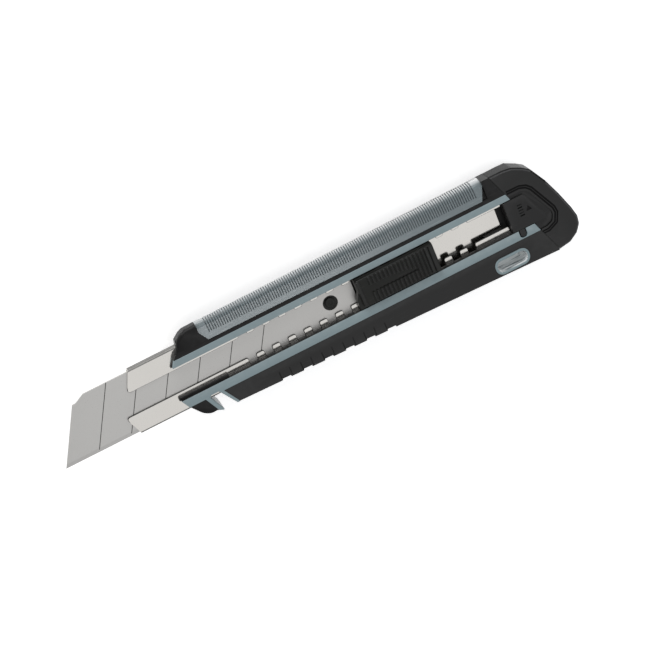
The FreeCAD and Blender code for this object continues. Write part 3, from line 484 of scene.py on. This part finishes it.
def makeRail():
    shape = railShape
    rail = startFromNode("rail", "foldedRail")
    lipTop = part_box("rail")[1].z / mm
    middle = shape["middle"]

    def isLipCorner(a, b):
        return (isUpright(a, b) and b.z - a.z < shape["cornerHeight"]
                and abs(b.z - lipTop) < 0.02 and abs(a.y - middle) < shape["lipReach"])

    roundEdges(rail, shape["tongueCorner"], 5,
               lambda a, b, edge: isLipCorner(a, b) and a.x < shape["tongueEnd"])
    roundEdges(rail, shape["toothCorner"], 3,
               lambda a, b, edge: isLipCorner(a, b) and a.x > shape["tongueEnd"])
    roundEdges(rail, shape["lipEdge"], 2, lambda a, b, edge: min(a.z, b.z) > lipTop - 0.01
               and len(edge.link_faces) == 2
               and max(abs(a.y - middle), abs(b.y - middle)) < shape["lipReach"]
               and min(face.normal.z for face in edge.link_faces) < 0.1)
    fitOut(rail, railSteel, "handle", ["rail"], 25)
    # The lips' edges get painted shade, near black, and the folds at the sides are duller steel
    # with painted shade.
    assignWhere(rail, paintedEdgeShade, lambda place, normal: normal.z < 0.93
                and place.z > lipTop - shape["sheet"]
                and abs(place.y - middle) < shape["lipReach"])
    assignWhere(rail, railSideDullAndShaded, lambda place, normal: abs(normal.y) > 0.12
                and abs(place.y - middle) > shape["foldFrom"])


def makeBlade():
    # The score lines are the faces that lie just inside the two flat sides.
    shallow, deep = bladeShape["scoreRange"]
    blade = startFromNode("blade", "scoredBlade")
    low, high = (corner.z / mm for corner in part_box("blade"))
    fitOut(blade, bladeSteel, "slider", ["blade"], 3)
    # The score lines are painted dark: painted shade in the grooves.
    assignWhere(blade, paintedScoreShade, lambda place, normal: place.y > bladeShape["bevelTop"] and (
        high - deep < place.z < high - shallow or low + shallow < place.z < low + deep))


makeRail()
makeBlade()
print("rail and blade ready")

# Strips and skins of the handle
trimShape = {"edge": 0.18, "steps": 3, "slotSides": (-5.45, 8.45), "wallTop": 16.9}


def isSlotWall(place, normal):
    return (abs(normal.y) > 0.85 and place.z < trimShape["wallTop"]
            and min(abs(place.y - side) for side in trimShape["slotSides"]) < 0.3)


for node, name in (("upper_bezel", "rulerSideTrim"), ("lower_bezel", "notchSideTrim")):
    trim = startFromNode(node, name)
    softenEdges(trim, trimShape["edge"], trimShape["steps"])
    fitOut(trim, blueGrey, "handle", [node])
    # The walls facing the slot get painted shade, near black.
    assignWhere(trim, paintedSlotShade, isSlotWall)

noseShape = {"corner": 1.6, "cornersBefore": -44.6, "cornersAbove": 14, "rim": 1.15, "rimSteps": 4}
hookShape = {"corner": 1.2, "cornersBefore": -51, "cornersBelow": -10, "rim": 0.9, "rimSteps": 3}
# Grooves of the finger grip: one row starts at each step, the other half way between.
gripShape = {"rim": 0.7, "rimSteps": 3, "firstStep": (-22.1, -16.9), "pitch": (9.15, -0.28, 0),
             "rows": ((6, 0.0), (5, 4.4)), "grooveLow": (-0.2, -4.0), "grooveHigh": (0.25, 3.9),
             "grooveDepth": 0.35}


def topOf(piece):
    return max(v.co.z for v in piece.data.vertices) / mm


def onRim(edge, level, outward):
    # An edge at the top level between the flat top and a wall that faces outwards.
    if any(abs(v.co.z / mm - level) > 0.01 for v in edge.verts) or len(edge.link_faces) != 2:
        return False
    wall = min(edge.link_faces, key=lambda face: face.normal.z)
    return wall.normal.z < 0.3 and outward(wall)


def makeNose():
    nose = startFromNode("nose_grip", "noseSkin")
    level = topOf(nose)
    roundEdges(nose, noseShape["corner"], 4, lambda a, b, edge: isUpright(a, b)
               and a.x < noseShape["cornersBefore"] and a.y > noseShape["cornersAbove"])
    roundEdges(nose, noseShape["rim"], noseShape["rimSteps"], lambda a, b, edge: onRim(
        edge, level, lambda wall: wall.normal.x < -0.2 or wall.normal.y > 0.6))
    fitOut(nose, noseBlack, "handle", ["nose_grip"])


def makeHook():
    hook = startFromNode("hook_grip", "hookSkin")
    level = topOf(hook)
    roundEdges(hook, hookShape["corner"], 4, lambda a, b, edge: isUpright(a, b)
               and a.x < hookShape["cornersBefore"] and a.y < hookShape["cornersBelow"])
    roundEdges(hook, hookShape["rim"], hookShape["rimSteps"], lambda a, b, edge: onRim(
        edge, level, lambda wall: wall.normal.x < -0.2 and wall.normal.y < -0.1
        or wall.normal.y < -0.8))
    fitOut(hook, noseBlack, "handle", ["hook_grip"])


def makeLowerGrip():
    shape = gripShape
    grip = startFromNode("lower_grip", "fingerGrip")
    level = topOf(grip)
    roundEdges(grip, shape["rim"], shape["rimSteps"], lambda a, b, edge: onRim(
        edge, level, lambda wall: wall.normal.y < -0.7))
    along, across = shape["firstStep"]
    (front, outer), (rear, inner) = shape["grooveLow"], shape["grooveHigh"]
    for count, shift in shape["rows"]:
        groove = startBlock(
            "gripGroove",
            (along + shift + front, across + outer, level - shape["grooveDepth"]),
            (along + shift + rear, across + inner, level + 1))
        repeatAlong(groove, shape["pitch"], count)
        carve(grip, groove)
    fitOut(grip, softGrip, "handle", ["lower_grip"])


makeNose()
makeHook()
makeLowerGrip()
print("grips ready")

# Ruler cover with its millimetre ridges
rulerShape = {"firstRidge": -40.2, "ridges": 117, "ridgeFrom": 15.3, "groove": 0.26,
              "grooveWidth": 0.46, "roundness": 0.8, "endCorner": 1.2}
# Corner points of the cover's section, from the trim side over the top and down the outside.
coverSection = [(13.0, 17.0), (18.3, 15.6), (19.95, 14.6), (20.75, 13.0), (20.75, 9.0)]


def makeRulerCover():
    shape = rulerShape
    cover = startFromNode("ruler_cover", "rulerCover")
    (slopeY, slopeZ), (turnY, turnZ), (sideY, sideZ) = coverSection[1:4]

    def isFold(a, b, edge):
        # The long edges at the section's three outer corners.
        return abs(a.x - b.x) > 60 and (
            abs(a.y - slopeY) < 0.2 and a.z > slopeZ - 0.3
            or abs(a.y - turnY) < 0.2 and a.z > turnZ - 0.3
            or a.y > sideY - 0.05 and min(a.z, b.z) > sideZ - 0.2 and abs(a.z - b.z) < 0.1)

    roundEdges(cover, shape["roundness"], 4, isFold)
    roundEdges(cover, shape["endCorner"], 4, lambda a, b, edge: isUpright(a, b) and a.x > 70)
    start = shape["firstRidge"]
    groove = startBlock("ridgeGroove", (start, shape["ridgeFrom"], 5),
                        (start + shape["grooveWidth"], 22, 18))
    kept = startBlock("groovePlug", (start - 1, 10, 0), (start + 2, 21.5, 19))
    for (y, z), (nextY, nextZ) in zip(coverSection, coverSection[1:]):
        outward = Vector((0, z - nextZ, nextY - y)).normalized()
        inside = Vector((0, y, z)) - outward * shape["groove"]
        sliceOff(kept, inside, outward)
    carve(groove, kept)
    repeatAlong(groove, (1, 0, 0), shape["ridges"])
    carve(cover, groove)
    fitOut(cover, clearCover, "handle", ["ruler_cover"])
    width = shape["grooveWidth"]

    def isInGroove(place, normal):
        # The two walls of a groove, and its floor, whose middle is half a width in.
        step = (place.x - start) % 1
        return (place.y > shape["ridgeFrom"] and start < place.x < start + shape["ridges"]
                and step < width + 0.01
                and (abs(normal.x) > 0.9 or abs(step - width / 2) < 0.02))

    assignWhere(cover, grooveShade, isInGroove)


# Each row of ticks is its step, its length and its count; the line runs along their foot.
tickShape = {"first": -39.4, "width": 0.24, "lift": 0.005, "height": 0.04, "reach": 4.35,
             "coverWall": 0.9, "rows": ((1, 1.1, 115), (5, 1.9, 23), (10, 2.9, 12)),
             "line": ((-39.4, 14.1, 15.83), (76.0, 14.28, 15.86))}


def makeTicks():
    shape = tickShape
    (innerY, innerZ), (outerY, outerZ) = coverSection[:2]
    slope = math.atan2(innerZ - outerZ, outerY - innerY)
    outerEnd = Vector((0, innerY + shape["reach"],
                       innerZ - shape["coverWall"] - shape["reach"] * math.tan(slope)))
    ticks = []
    for step, length, count in shape["rows"]:
        tick = startBlock("rulerTick", (shape["first"], -length, shape["lift"]),
                          (shape["first"] + shape["width"], 0, shape["height"]))
        tick.location = outerEnd * mm
        tick.rotation_euler = (-slope, 0, 0)
        bpy.ops.object.transform_apply(location=True, rotation=True, scale=True)
        repeatAlong(tick, (step, 0, 0), count)
        ticks.append(tick)
    line = startBlock("rulerLine", *shape["line"])
    marks = joinPieces(ticks[0], ticks[1:] + [line])
    marks.name = "rulerTicks"
    fitOut(marks, tickInk, "handle")


makeRulerCover()
makeTicks()
print("ruler ready")

# Slider
padShape = {"low": -4.3, "high": 7.5, "front": 18.7, "rear": 52.6, "bottom": 17.4,
            "plate": 18.6, "top": 19.35, "corner": 1.1, "edge": 0.35, "ribPitch": 1.68,
            "ribWidth": 0.92, "ribCount": 15, "firstRib": 23.7, "ribInset": 0.3, "ribRound": 0.3,
            "leafAt": (26.2, 0.35), "leafReach": (17.6, 3.3), "lipWidth": 1.5, "lipInset": 0.4,
            "bar": (48.6, 50.0), "heel": (50.2, 52.5), "endInset": 0.2, "heelRound": 0.75,
            "slit": (27.3, 44.0), "slitSides": (0.1, 0.5), "slitDepth": 0.35}
pinShape = {"radius": 2.1, "low": 12.66, "top": 13.5, "edge": 0.3, "dimple": 0.9,
            "dimpleFloor": 13.35}


def makeSliderBody():
    body = startFromNode("slider_body", "sliderFrame")
    softenEdges(body, 0.25, 2)
    fitOut(body, sliderBlack, "slider", ["slider_body"])


def makeThumbPad():
    shape = padShape
    plate = startBlock("thumbPadPlate", (shape["front"], shape["low"], shape["bottom"]),
                       (shape["rear"], shape["high"], shape["plate"]))
    roundEdges(plate, shape["corner"], 4, lambda a, b, edge: isUpright(a, b))
    roundEdges(plate, shape["edge"], 3,
               lambda a, b, edge: onRim(edge, shape["plate"], lambda wall: True))
    inset = shape["ribInset"]
    rib = startBlock("thumbRib", (shape["firstRib"], shape["low"] + inset, shape["plate"] - 0.1),
                     (shape["firstRib"] + shape["ribWidth"], shape["high"] - inset, shape["top"]))
    roundEdges(rib, shape["ribRound"], 3,
               lambda a, b, edge: min(a.z, b.z) > shape["top"] - 0.01)
    repeatAlong(rib, (shape["ribPitch"], 0, 0), shape["ribCount"])
    # Half an ellipse is cut from the ribs, which leaves the leaf-shaped smooth field.
    leaf = startDisc("leafCutter", (0, 0), 1, shape["plate"] - 0.15, 20, 48)
    leaf.scale = (*shape["leafReach"], 1)
    leaf.location = (shape["leafAt"][0] * mm, shape["leafAt"][1] * mm, 0)
    bpy.ops.object.transform_apply(location=True, rotation=True, scale=True)
    sliceOff(leaf, (0, shape["leafAt"][1], 0), (0, -1, 0))
    carve(rib, leaf)
    inset = shape["lipInset"]
    lip = startBlock("padLip", (shape["front"] + 0.05, shape["low"] + inset, shape["plate"] - 0.2),
                     (shape["front"] + shape["lipWidth"], shape["high"] - inset,
                      shape["top"] - 0.2))
    softenEdges(lip, 0.3, 3)
    inset = shape["endInset"]
    bar = startBlock("padBar", (shape["bar"][0], shape["low"] + inset, shape["plate"] - 0.1),
                     (shape["bar"][1], shape["high"] - inset, shape["top"] + 0.05))
    softenEdges(bar, shape["edge"], 3)
    heel = startBlock("padHeel", (shape["heel"][0], shape["low"] + inset, shape["plate"] - 0.4),
                      (shape["heel"][1], shape["high"] - inset, shape["top"] - 0.1))
    roundEdges(heel, shape["heelRound"], 5, lambda a, b, edge: min(a.z, b.z) > 19
               and abs(a.x - b.x) < 0.01)
    slitLow, slitHigh = shape["slitSides"]
    slit = startBlock("leafSlit", (shape["slit"][0], slitLow, shape["plate"] - shape["slitDepth"]),
                      (shape["slit"][1], slitHigh, 20))
    carve(plate, slit)
    pad = joinPieces(plate, [rib, lip, bar, heel])
    pad.name = "thumbPad"
    fitOut(pad, sliderBlack, "slider", ["thumb_pad"])


def makePin():
    shape = pinShape
    low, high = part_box("carrier_pin")
    centre = ((low.x + high.x) / 2 / mm, (low.y + high.y) / 2 / mm)
    head = startDisc("carrierPinHead", centre, shape["radius"], shape["low"], shape["top"], 40)
    roundEdges(head, shape["edge"], 3, lambda a, b, edge: min(a.z, b.z) > shape["top"] - 0.01)
    dimple = startDisc("pinDimple", centre, shape["dimple"], shape["dimpleFloor"], 14, 24)
    carve(head, dimple)
    fitOut(head, sliderBlack, "slider", ["carrier_pin"])


makeSliderBody()
makeThumbPad()
makePin()
print("slider ready")

# Rear cap and plug
capShape = {"windowCorner": 2.6, "corner": 3.4, "rim": 0.9, "rimSteps": 5, "side": 2.4,
            "leanAt": (96.5, 18.5, 9.3), "leanFacing": (0.41, 0.71, -0.574),
            "lineGaps": (1.15, 2.1), "lineWidth": 0.72, "insideTo": 105.2,
            "insideSides": (-12, 12.6)}
# The window's outline, walked clockwise from the parting line at the ruler side.
windowCorners = [(87.8, 9.9), (93.1, 9.85), (95.2, 9.05), (96.5, 7.75), (102.2, -3.25),
                 (102.5, -5.05), (101.4, -7.85), (98.6, -9.05), (95.6, -9.05)]


def offsetOutline(corners, gap):
    # Move every side of an open outline outwards and find the new corners.
    sides = []
    for start, end in zip(corners, corners[1:]):
        along = Vector((end[0] - start[0], end[1] - start[1])).normalized()
        outward = Vector((-along.y, along.x))
        sides.append((Vector(start) + outward * gap, along))
    moved = [sides[0][0]]
    for (place, along), (nextPlace, nextAlong) in zip(sides, sides[1:]):
        across = along.x * nextAlong.y - along.y * nextAlong.x
        step = ((nextPlace.x - place.x) * nextAlong.y - (nextPlace.y - place.y) * nextAlong.x)
        moved.append(place + along * (step / across))
    moved.append(sides[-1][0] + sides[-1][1] * (Vector(corners[-1]) - Vector(corners[-2])).length)
    return moved


def makeGrooveTool(gap, level):
    # A narrow bar that follows the window's outline, to press a line into the cap.
    path = offsetOutline(windowCorners, gap)
    bpy.ops.object.select_all(action="DESELECT")
    curve = bpy.data.curves.new("linePath", "CURVE")
    curve.dimensions = "3D"
    line = curve.splines.new("POLY")
    line.points.add(len(path) - 1)
    for point, place in zip(line.points, path):
        point.co = (place.x * mm, place.y * mm, level * mm, 1)
    curve.bevel_depth = capShape["lineWidth"] / 2 * mm
    curve.bevel_resolution = 0
    curve.use_fill_caps = True
    tool = bpy.data.objects.new("lineTool", curve)
    scene.collection.objects.link(tool)
    tool.select_set(True)
    bpy.context.view_layer.objects.active = tool
    bpy.ops.object.convert(target="MESH")
    return bpy.context.active_object


def isSideFold(low, high, edge):
    # Where the side walls turn into the leaning back faces.
    if high.z > 12 or low.z < 1 or len(edge.link_faces) != 2:
        return False
    walls = sorted((face.normal.z for face in edge.link_faces))
    return walls[0] < -0.2 and abs(walls[1]) < 0.05


def makeCap():
    shape = capShape
    cap = startFromNode("end_cap", "rearCap")
    level = topOf(cap)
    # First the window's corners, then the outline's.
    roundEdges(cap, shape["windowCorner"], 4, lambda a, b, edge: isUpright(a, b)
               and 2 < b.z - a.z < 6 and 94 < a.x < 103 and -9.2 < a.y < 9.9)
    roundEdges(cap, shape["corner"], 5, lambda a, b, edge: isUpright(a, b)
               and b.z - a.z > 5 and a.x > 92 and (a.y > 10 or a.x > 104))
    sliceOff(cap, shape["leanAt"], shape["leanFacing"])
    roundEdges(cap, shape["side"], 6, isSideFold)
    roundEdges(cap, shape["rim"], shape["rimSteps"], lambda a, b, edge: onRim(
        edge, level, lambda wall: min(v.co.z for v in wall.verts) / mm < level - 4
        and wall.normal.x > -0.5))
    for gap in shape["lineGaps"]:
        carve(cap, makeGrooveTool(gap, level))
    fitOut(cap, softGrip, "end_cap", ["end_cap"])

    def isInside(place):
        # Within the flat front, where the window and the pressed lines are.
        low, high = shape["insideSides"]
        return place.x < shape["insideTo"] and low < place.y < high

    # Painted shade on the sides, a painted highlight on the rim, and painted shade in the pressed
    # lines and on the walls round the window.
    assignWhere(cap, paintedCapSideShade, lambda place, normal: normal.z < 0.8 and not isInside(place)
                and (place.y > 15 or place.x > 103 or place.y < -19))
    assignWhere(cap, rimGlint, lambda place, normal: 0.8 <= normal.z < 0.99
                and not isInside(place) and place.z > level - 1)
    assignWhere(cap, paintedSlotShade, lambda place, normal: isInside(place) and (
        level - 0.5 < place.z < level - 0.04 or abs(normal.z) < 0.3))


# Recessed ribs and an arrow on the plug.
iconShape = {"rib": (2.0, 0.5), "ribsFrom": (89.9, 4.4), "ribStep": 1.15, "ribs": 5,
             "arrow": 1.45, "arrowAt": (94.1, 1.6), "arrowFloor": 16.4, "depth": 0.3}


def makePlug():
    shape = iconShape
    plug = startFromNode("end_plug", "rearPlug")
    roundEdges(plug, 1.3, 4, lambda a, b, edge: isUpright(a, b) and a.x > 90
               and b.z > 16 and -8 < a.y < 9.5)
    softenEdges(plug, 0.2, 3)
    level = topOf(plug)
    along, firstAcross = shape["ribsFrom"]
    for index in range(shape["ribs"]):
        across = firstAcross - index * shape["ribStep"]
        rib = startBlock("iconRib", (along, across, level - shape["depth"]),
                         (along + shape["rib"][0], across + shape["rib"][1], level + 1))
        carve(plug, rib)
    arrow = startDisc("iconArrow", shape["arrowAt"], shape["arrow"], shape["arrowFloor"],
                      level + 1, 3)
    carve(plug, arrow)
    fitOut(plug, plugBlack, "end_cap", ["end_plug"])

    def isIcon(place):
        return 89.8 < place.x < 95.6 and -0.4 < place.y < 5

    # Painted shade: the icon's recessed floors are a darker black.
    assignWhere(plug, coreBlack, lambda place, normal: 16.3 < place.z < level - 0.05
                and isIcon(place))
    # Painted shade: the plug's walls, in the gap round it, are near black.
    assignWhere(plug, paintedSlotShade, lambda place, normal: abs(normal.z) < 0.5
                and place.x > 86 and not isIcon(place))
    latch = startFromNode("plug_latch", "plugLatch")
    softenEdges(latch, 0.25, 3)
    fitOut(latch, plugBlack, "end_cap", ["plug_latch"])


makeCap()
makePlug()
print("cap ready")

# Black ledge along the front of the slot
ledgeShape = {"front": -61.6, "rear": -40.3, "inner": -4.3, "outer": -5.6, "bottom": 14.12,
              "top": 15.6, "corner": 0.9, "edge": 0.3}


def makeLedge():
    shape = ledgeShape
    ledge = startBlock("slotLedge", (shape["front"], shape["outer"], shape["bottom"]),
                       (shape["rear"], shape["inner"], shape["top"]))
    roundEdges(ledge, shape["corner"], 4, lambda a, b, edge: isUpright(a, b)
               and a.x < -60 and a.y > -5)
    roundEdges(ledge, shape["edge"], 3, lambda a, b, edge: min(a.z, b.z) > shape["top"] - 0.01
               and max(a.y, b.y) > -5.5)
    fitOut(ledge, coreBlack, "handle")


makeLedge()

# Blue-grey lining of the cord notch, painted pale as a painted highlight
liningShape = {"low": (-51, -16.5, 6.05), "high": (-47, -9, 15.2), "edge": 0.08,
               "outline": [(-50.62, -9.3), (-47.72, -16.0), (-47.4, -15.9), (-50.3, -9.2)]}


def makeNotchLining():
    lining = startBlock("notchLining", liningShape["low"], liningShape["high"])
    sliceToOutline(lining, liningShape["outline"])
    softenEdges(lining, liningShape["edge"], 2)
    fitOut(lining, paintedLitWall, "handle")


makeNotchLining()

# Lanyard eyelet
# Glossy inner walls of the eyelet; their near-white colour and dark streaks are painted
# reflection.
glossyWallPaintedReflection = makePlastic("glossyWallPaintedReflection", dict(blueGreyLook, dark=(0.66, 0.7, 0.71), scuffReach=0.5,
                                          light=(0.9, 0.92, 0.92), scuff=(0.16, 0.19, 0.2),
                                          rough=0.1, bump=0.05, specular=0.8))
eyeletShape = {"corner": 3.1, "wall": 1.0, "rim": 0.3}


def makeEyelet():
    low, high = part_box("lanyard_eyelet")
    ring = startBlock("lanyardEyelet", [c / mm for c in low], [c / mm for c in high])
    roundEdges(ring, eyeletShape["corner"], 8, lambda a, b, edge: isUpright(a, b))
    # Inset both ends and join the insets, which opens the cord hole.
    mesh = openMesh(ring, "FACE")
    for face in mesh.faces:
        if abs(face.normal.z) > 0.9:
            face.select_set(True)
    bmesh.update_edit_mesh(ring.data)
    bpy.ops.mesh.inset(thickness=eyeletShape["wall"] * mm, use_individual=True)
    bpy.ops.mesh.bridge_edge_loops()
    closeMesh()
    # The back of the ring leans with the casing's side.
    leaning = max((face for face in nodes["back_shell"].data.polygons
                   if face.normal.y < -0.6 and face.normal.z < -0.2), key=lambda face: face.area)
    sliceOff(ring, leaning.center / mm, leaning.normal)
    softenEdges(ring, eyeletShape["rim"], 3, 50)
    fitOut(ring, blueGrey, "handle", ["lanyard_eyelet"])
    middle = (low + high) / 2 / mm
    # The hole's inner walls get the painted reflection.
    assignWhere(ring, glossyWallPaintedReflection, lambda place, normal: abs(normal.z) < 0.5 and (
        place.x - middle.x) * normal.x + (place.y - middle.y) * normal.y < 0)


makeEyelet()
print("eyelet ready")

# Back of the handle
backShape = {"shellEdge": 0.6, "padEdge": 0.2, "padStep": 3.5, "padGrooves": 20,
             "groove": ((-15.6, -3.6, -1), (-14.6, 7.7, 0.4)), "grooveCorner": 0.45}


def makeBack():
    shape = backShape
    shell = startFromNode("back_shell", "backShell")
    softenEdges(shell, shape["shellEdge"], 3)
    fitOut(shell, shellBlack, "handle", ["back_shell"])
    pad = startFromNode("back_grip", "backPad")
    groove = startBlock("padGroove", *shape["groove"])
    roundEdges(groove, shape["grooveCorner"], 3, lambda a, b, edge: isUpright(a, b))
    repeatAlong(groove, (shape["padStep"], 0, 0), shape["padGrooves"])
    carve(pad, groove)
    softenEdges(pad, shape["padEdge"], 2)
    fitOut(pad, softGrip, "handle", ["back_grip"])


makeBack()
print("back ready")

# Floor, light and camera
floorLook = {"colour": (0.93, 0.93, 0.93), "patch": (0.95, 0.95, 0.95), "rough": 0.55,
             "glow": 0.5}
bpy.ops.mesh.primitive_plane_add(size=8, location=(0, 0, -0.00005))
floor = bpy.context.active_object
floor.name = "studioFloor"
floorPaint, floorTree, floorShader = newMaterial("floorPaint")
floorCoords = floorTree.nodes.new("ShaderNodeTexCoord").outputs["Object"]
floorTone = mixColour(floorTree, addNoise(floorTree, floorCoords, 3.0), floorLook["colour"],
                      floorLook["patch"])
floorTree.links.new(floorTone, floorShader.inputs["Base Color"])
floorShader.inputs["Roughness"].default_value = floorLook["rough"]
floorShader.inputs["Emission Color"].default_value = (1.0, 1.0, 1.0, 1.0)
floorShader.inputs["Emission Strength"].default_value = floorLook["glow"]
floor.data.materials.append(floorPaint)

world = bpy.data.worlds.new("softRoom")
scene.world = world
world.use_nodes = True
world.node_tree.nodes["Background"].inputs["Color"].default_value = (0.98, 0.985, 1.0, 1.0)
world.node_tree.nodes["Background"].inputs["Strength"].default_value = 0.5

softboxes = {
    "mirrorBox": {"at": (0.16, -0.53, 1.17), "size": 1.3, "power": 1.5},
    "edgeBox": {"at": (-0.2, 1.3, 0.55), "size": 0.8, "power": 11.0},
    "topBox": {"at": (0.1, 0.25, 1.3), "size": 0.35, "power": 1.2},
}
for name, box in softboxes.items():
    lamp = bpy.data.lights.new(name, "AREA")
    lamp.energy = box["power"]
    lamp.size = box["size"]
    holder = bpy.data.objects.new(name, lamp)
    holder.location = box["at"]
    holder.rotation_euler = (-Vector(box["at"])).to_track_quat("-Z", "Y").to_euler()
    scene.collection.objects.link(holder)
scene.view_settings.view_transform = "Standard"

cameraView = {"aim": (1.73, -3.98, 13.32), "side": 7.137, "lift": 24.598, "roll": 26.805,
              "distance": 800.0, "lens": 114.7}


def placeCamera(view):
    side, lift = math.radians(view["side"]), math.radians(view["lift"])
    roll = math.radians(view["roll"])
    towards = Vector((-math.sin(side), math.sin(lift) * math.cos(side),
                      math.cos(lift) * math.cos(side)))
    right = (Vector((1, 0, 0)) - towards * towards.x).normalized()
    upwards = towards.cross(right)
    level = right * math.cos(roll) - upwards * math.sin(roll)
    tall = right * math.sin(roll) + upwards * math.cos(roll)
    camera = bpy.data.objects.new("camera", bpy.data.cameras.new("camera"))
    camera.data.sensor_width = 36.0
    camera.data.lens = view["lens"]
    camera.data.clip_start = 0.01
    turn = Matrix((level, tall, towards)).transposed().to_4x4()
    place = (Vector(view["aim"]) + towards * view["distance"]) * mm
    camera.matrix_world = Matrix.Translation(place) @ turn
    scene.collection.objects.link(camera)
    scene.camera = camera


placeCamera(cameraView)
print("camera ready")
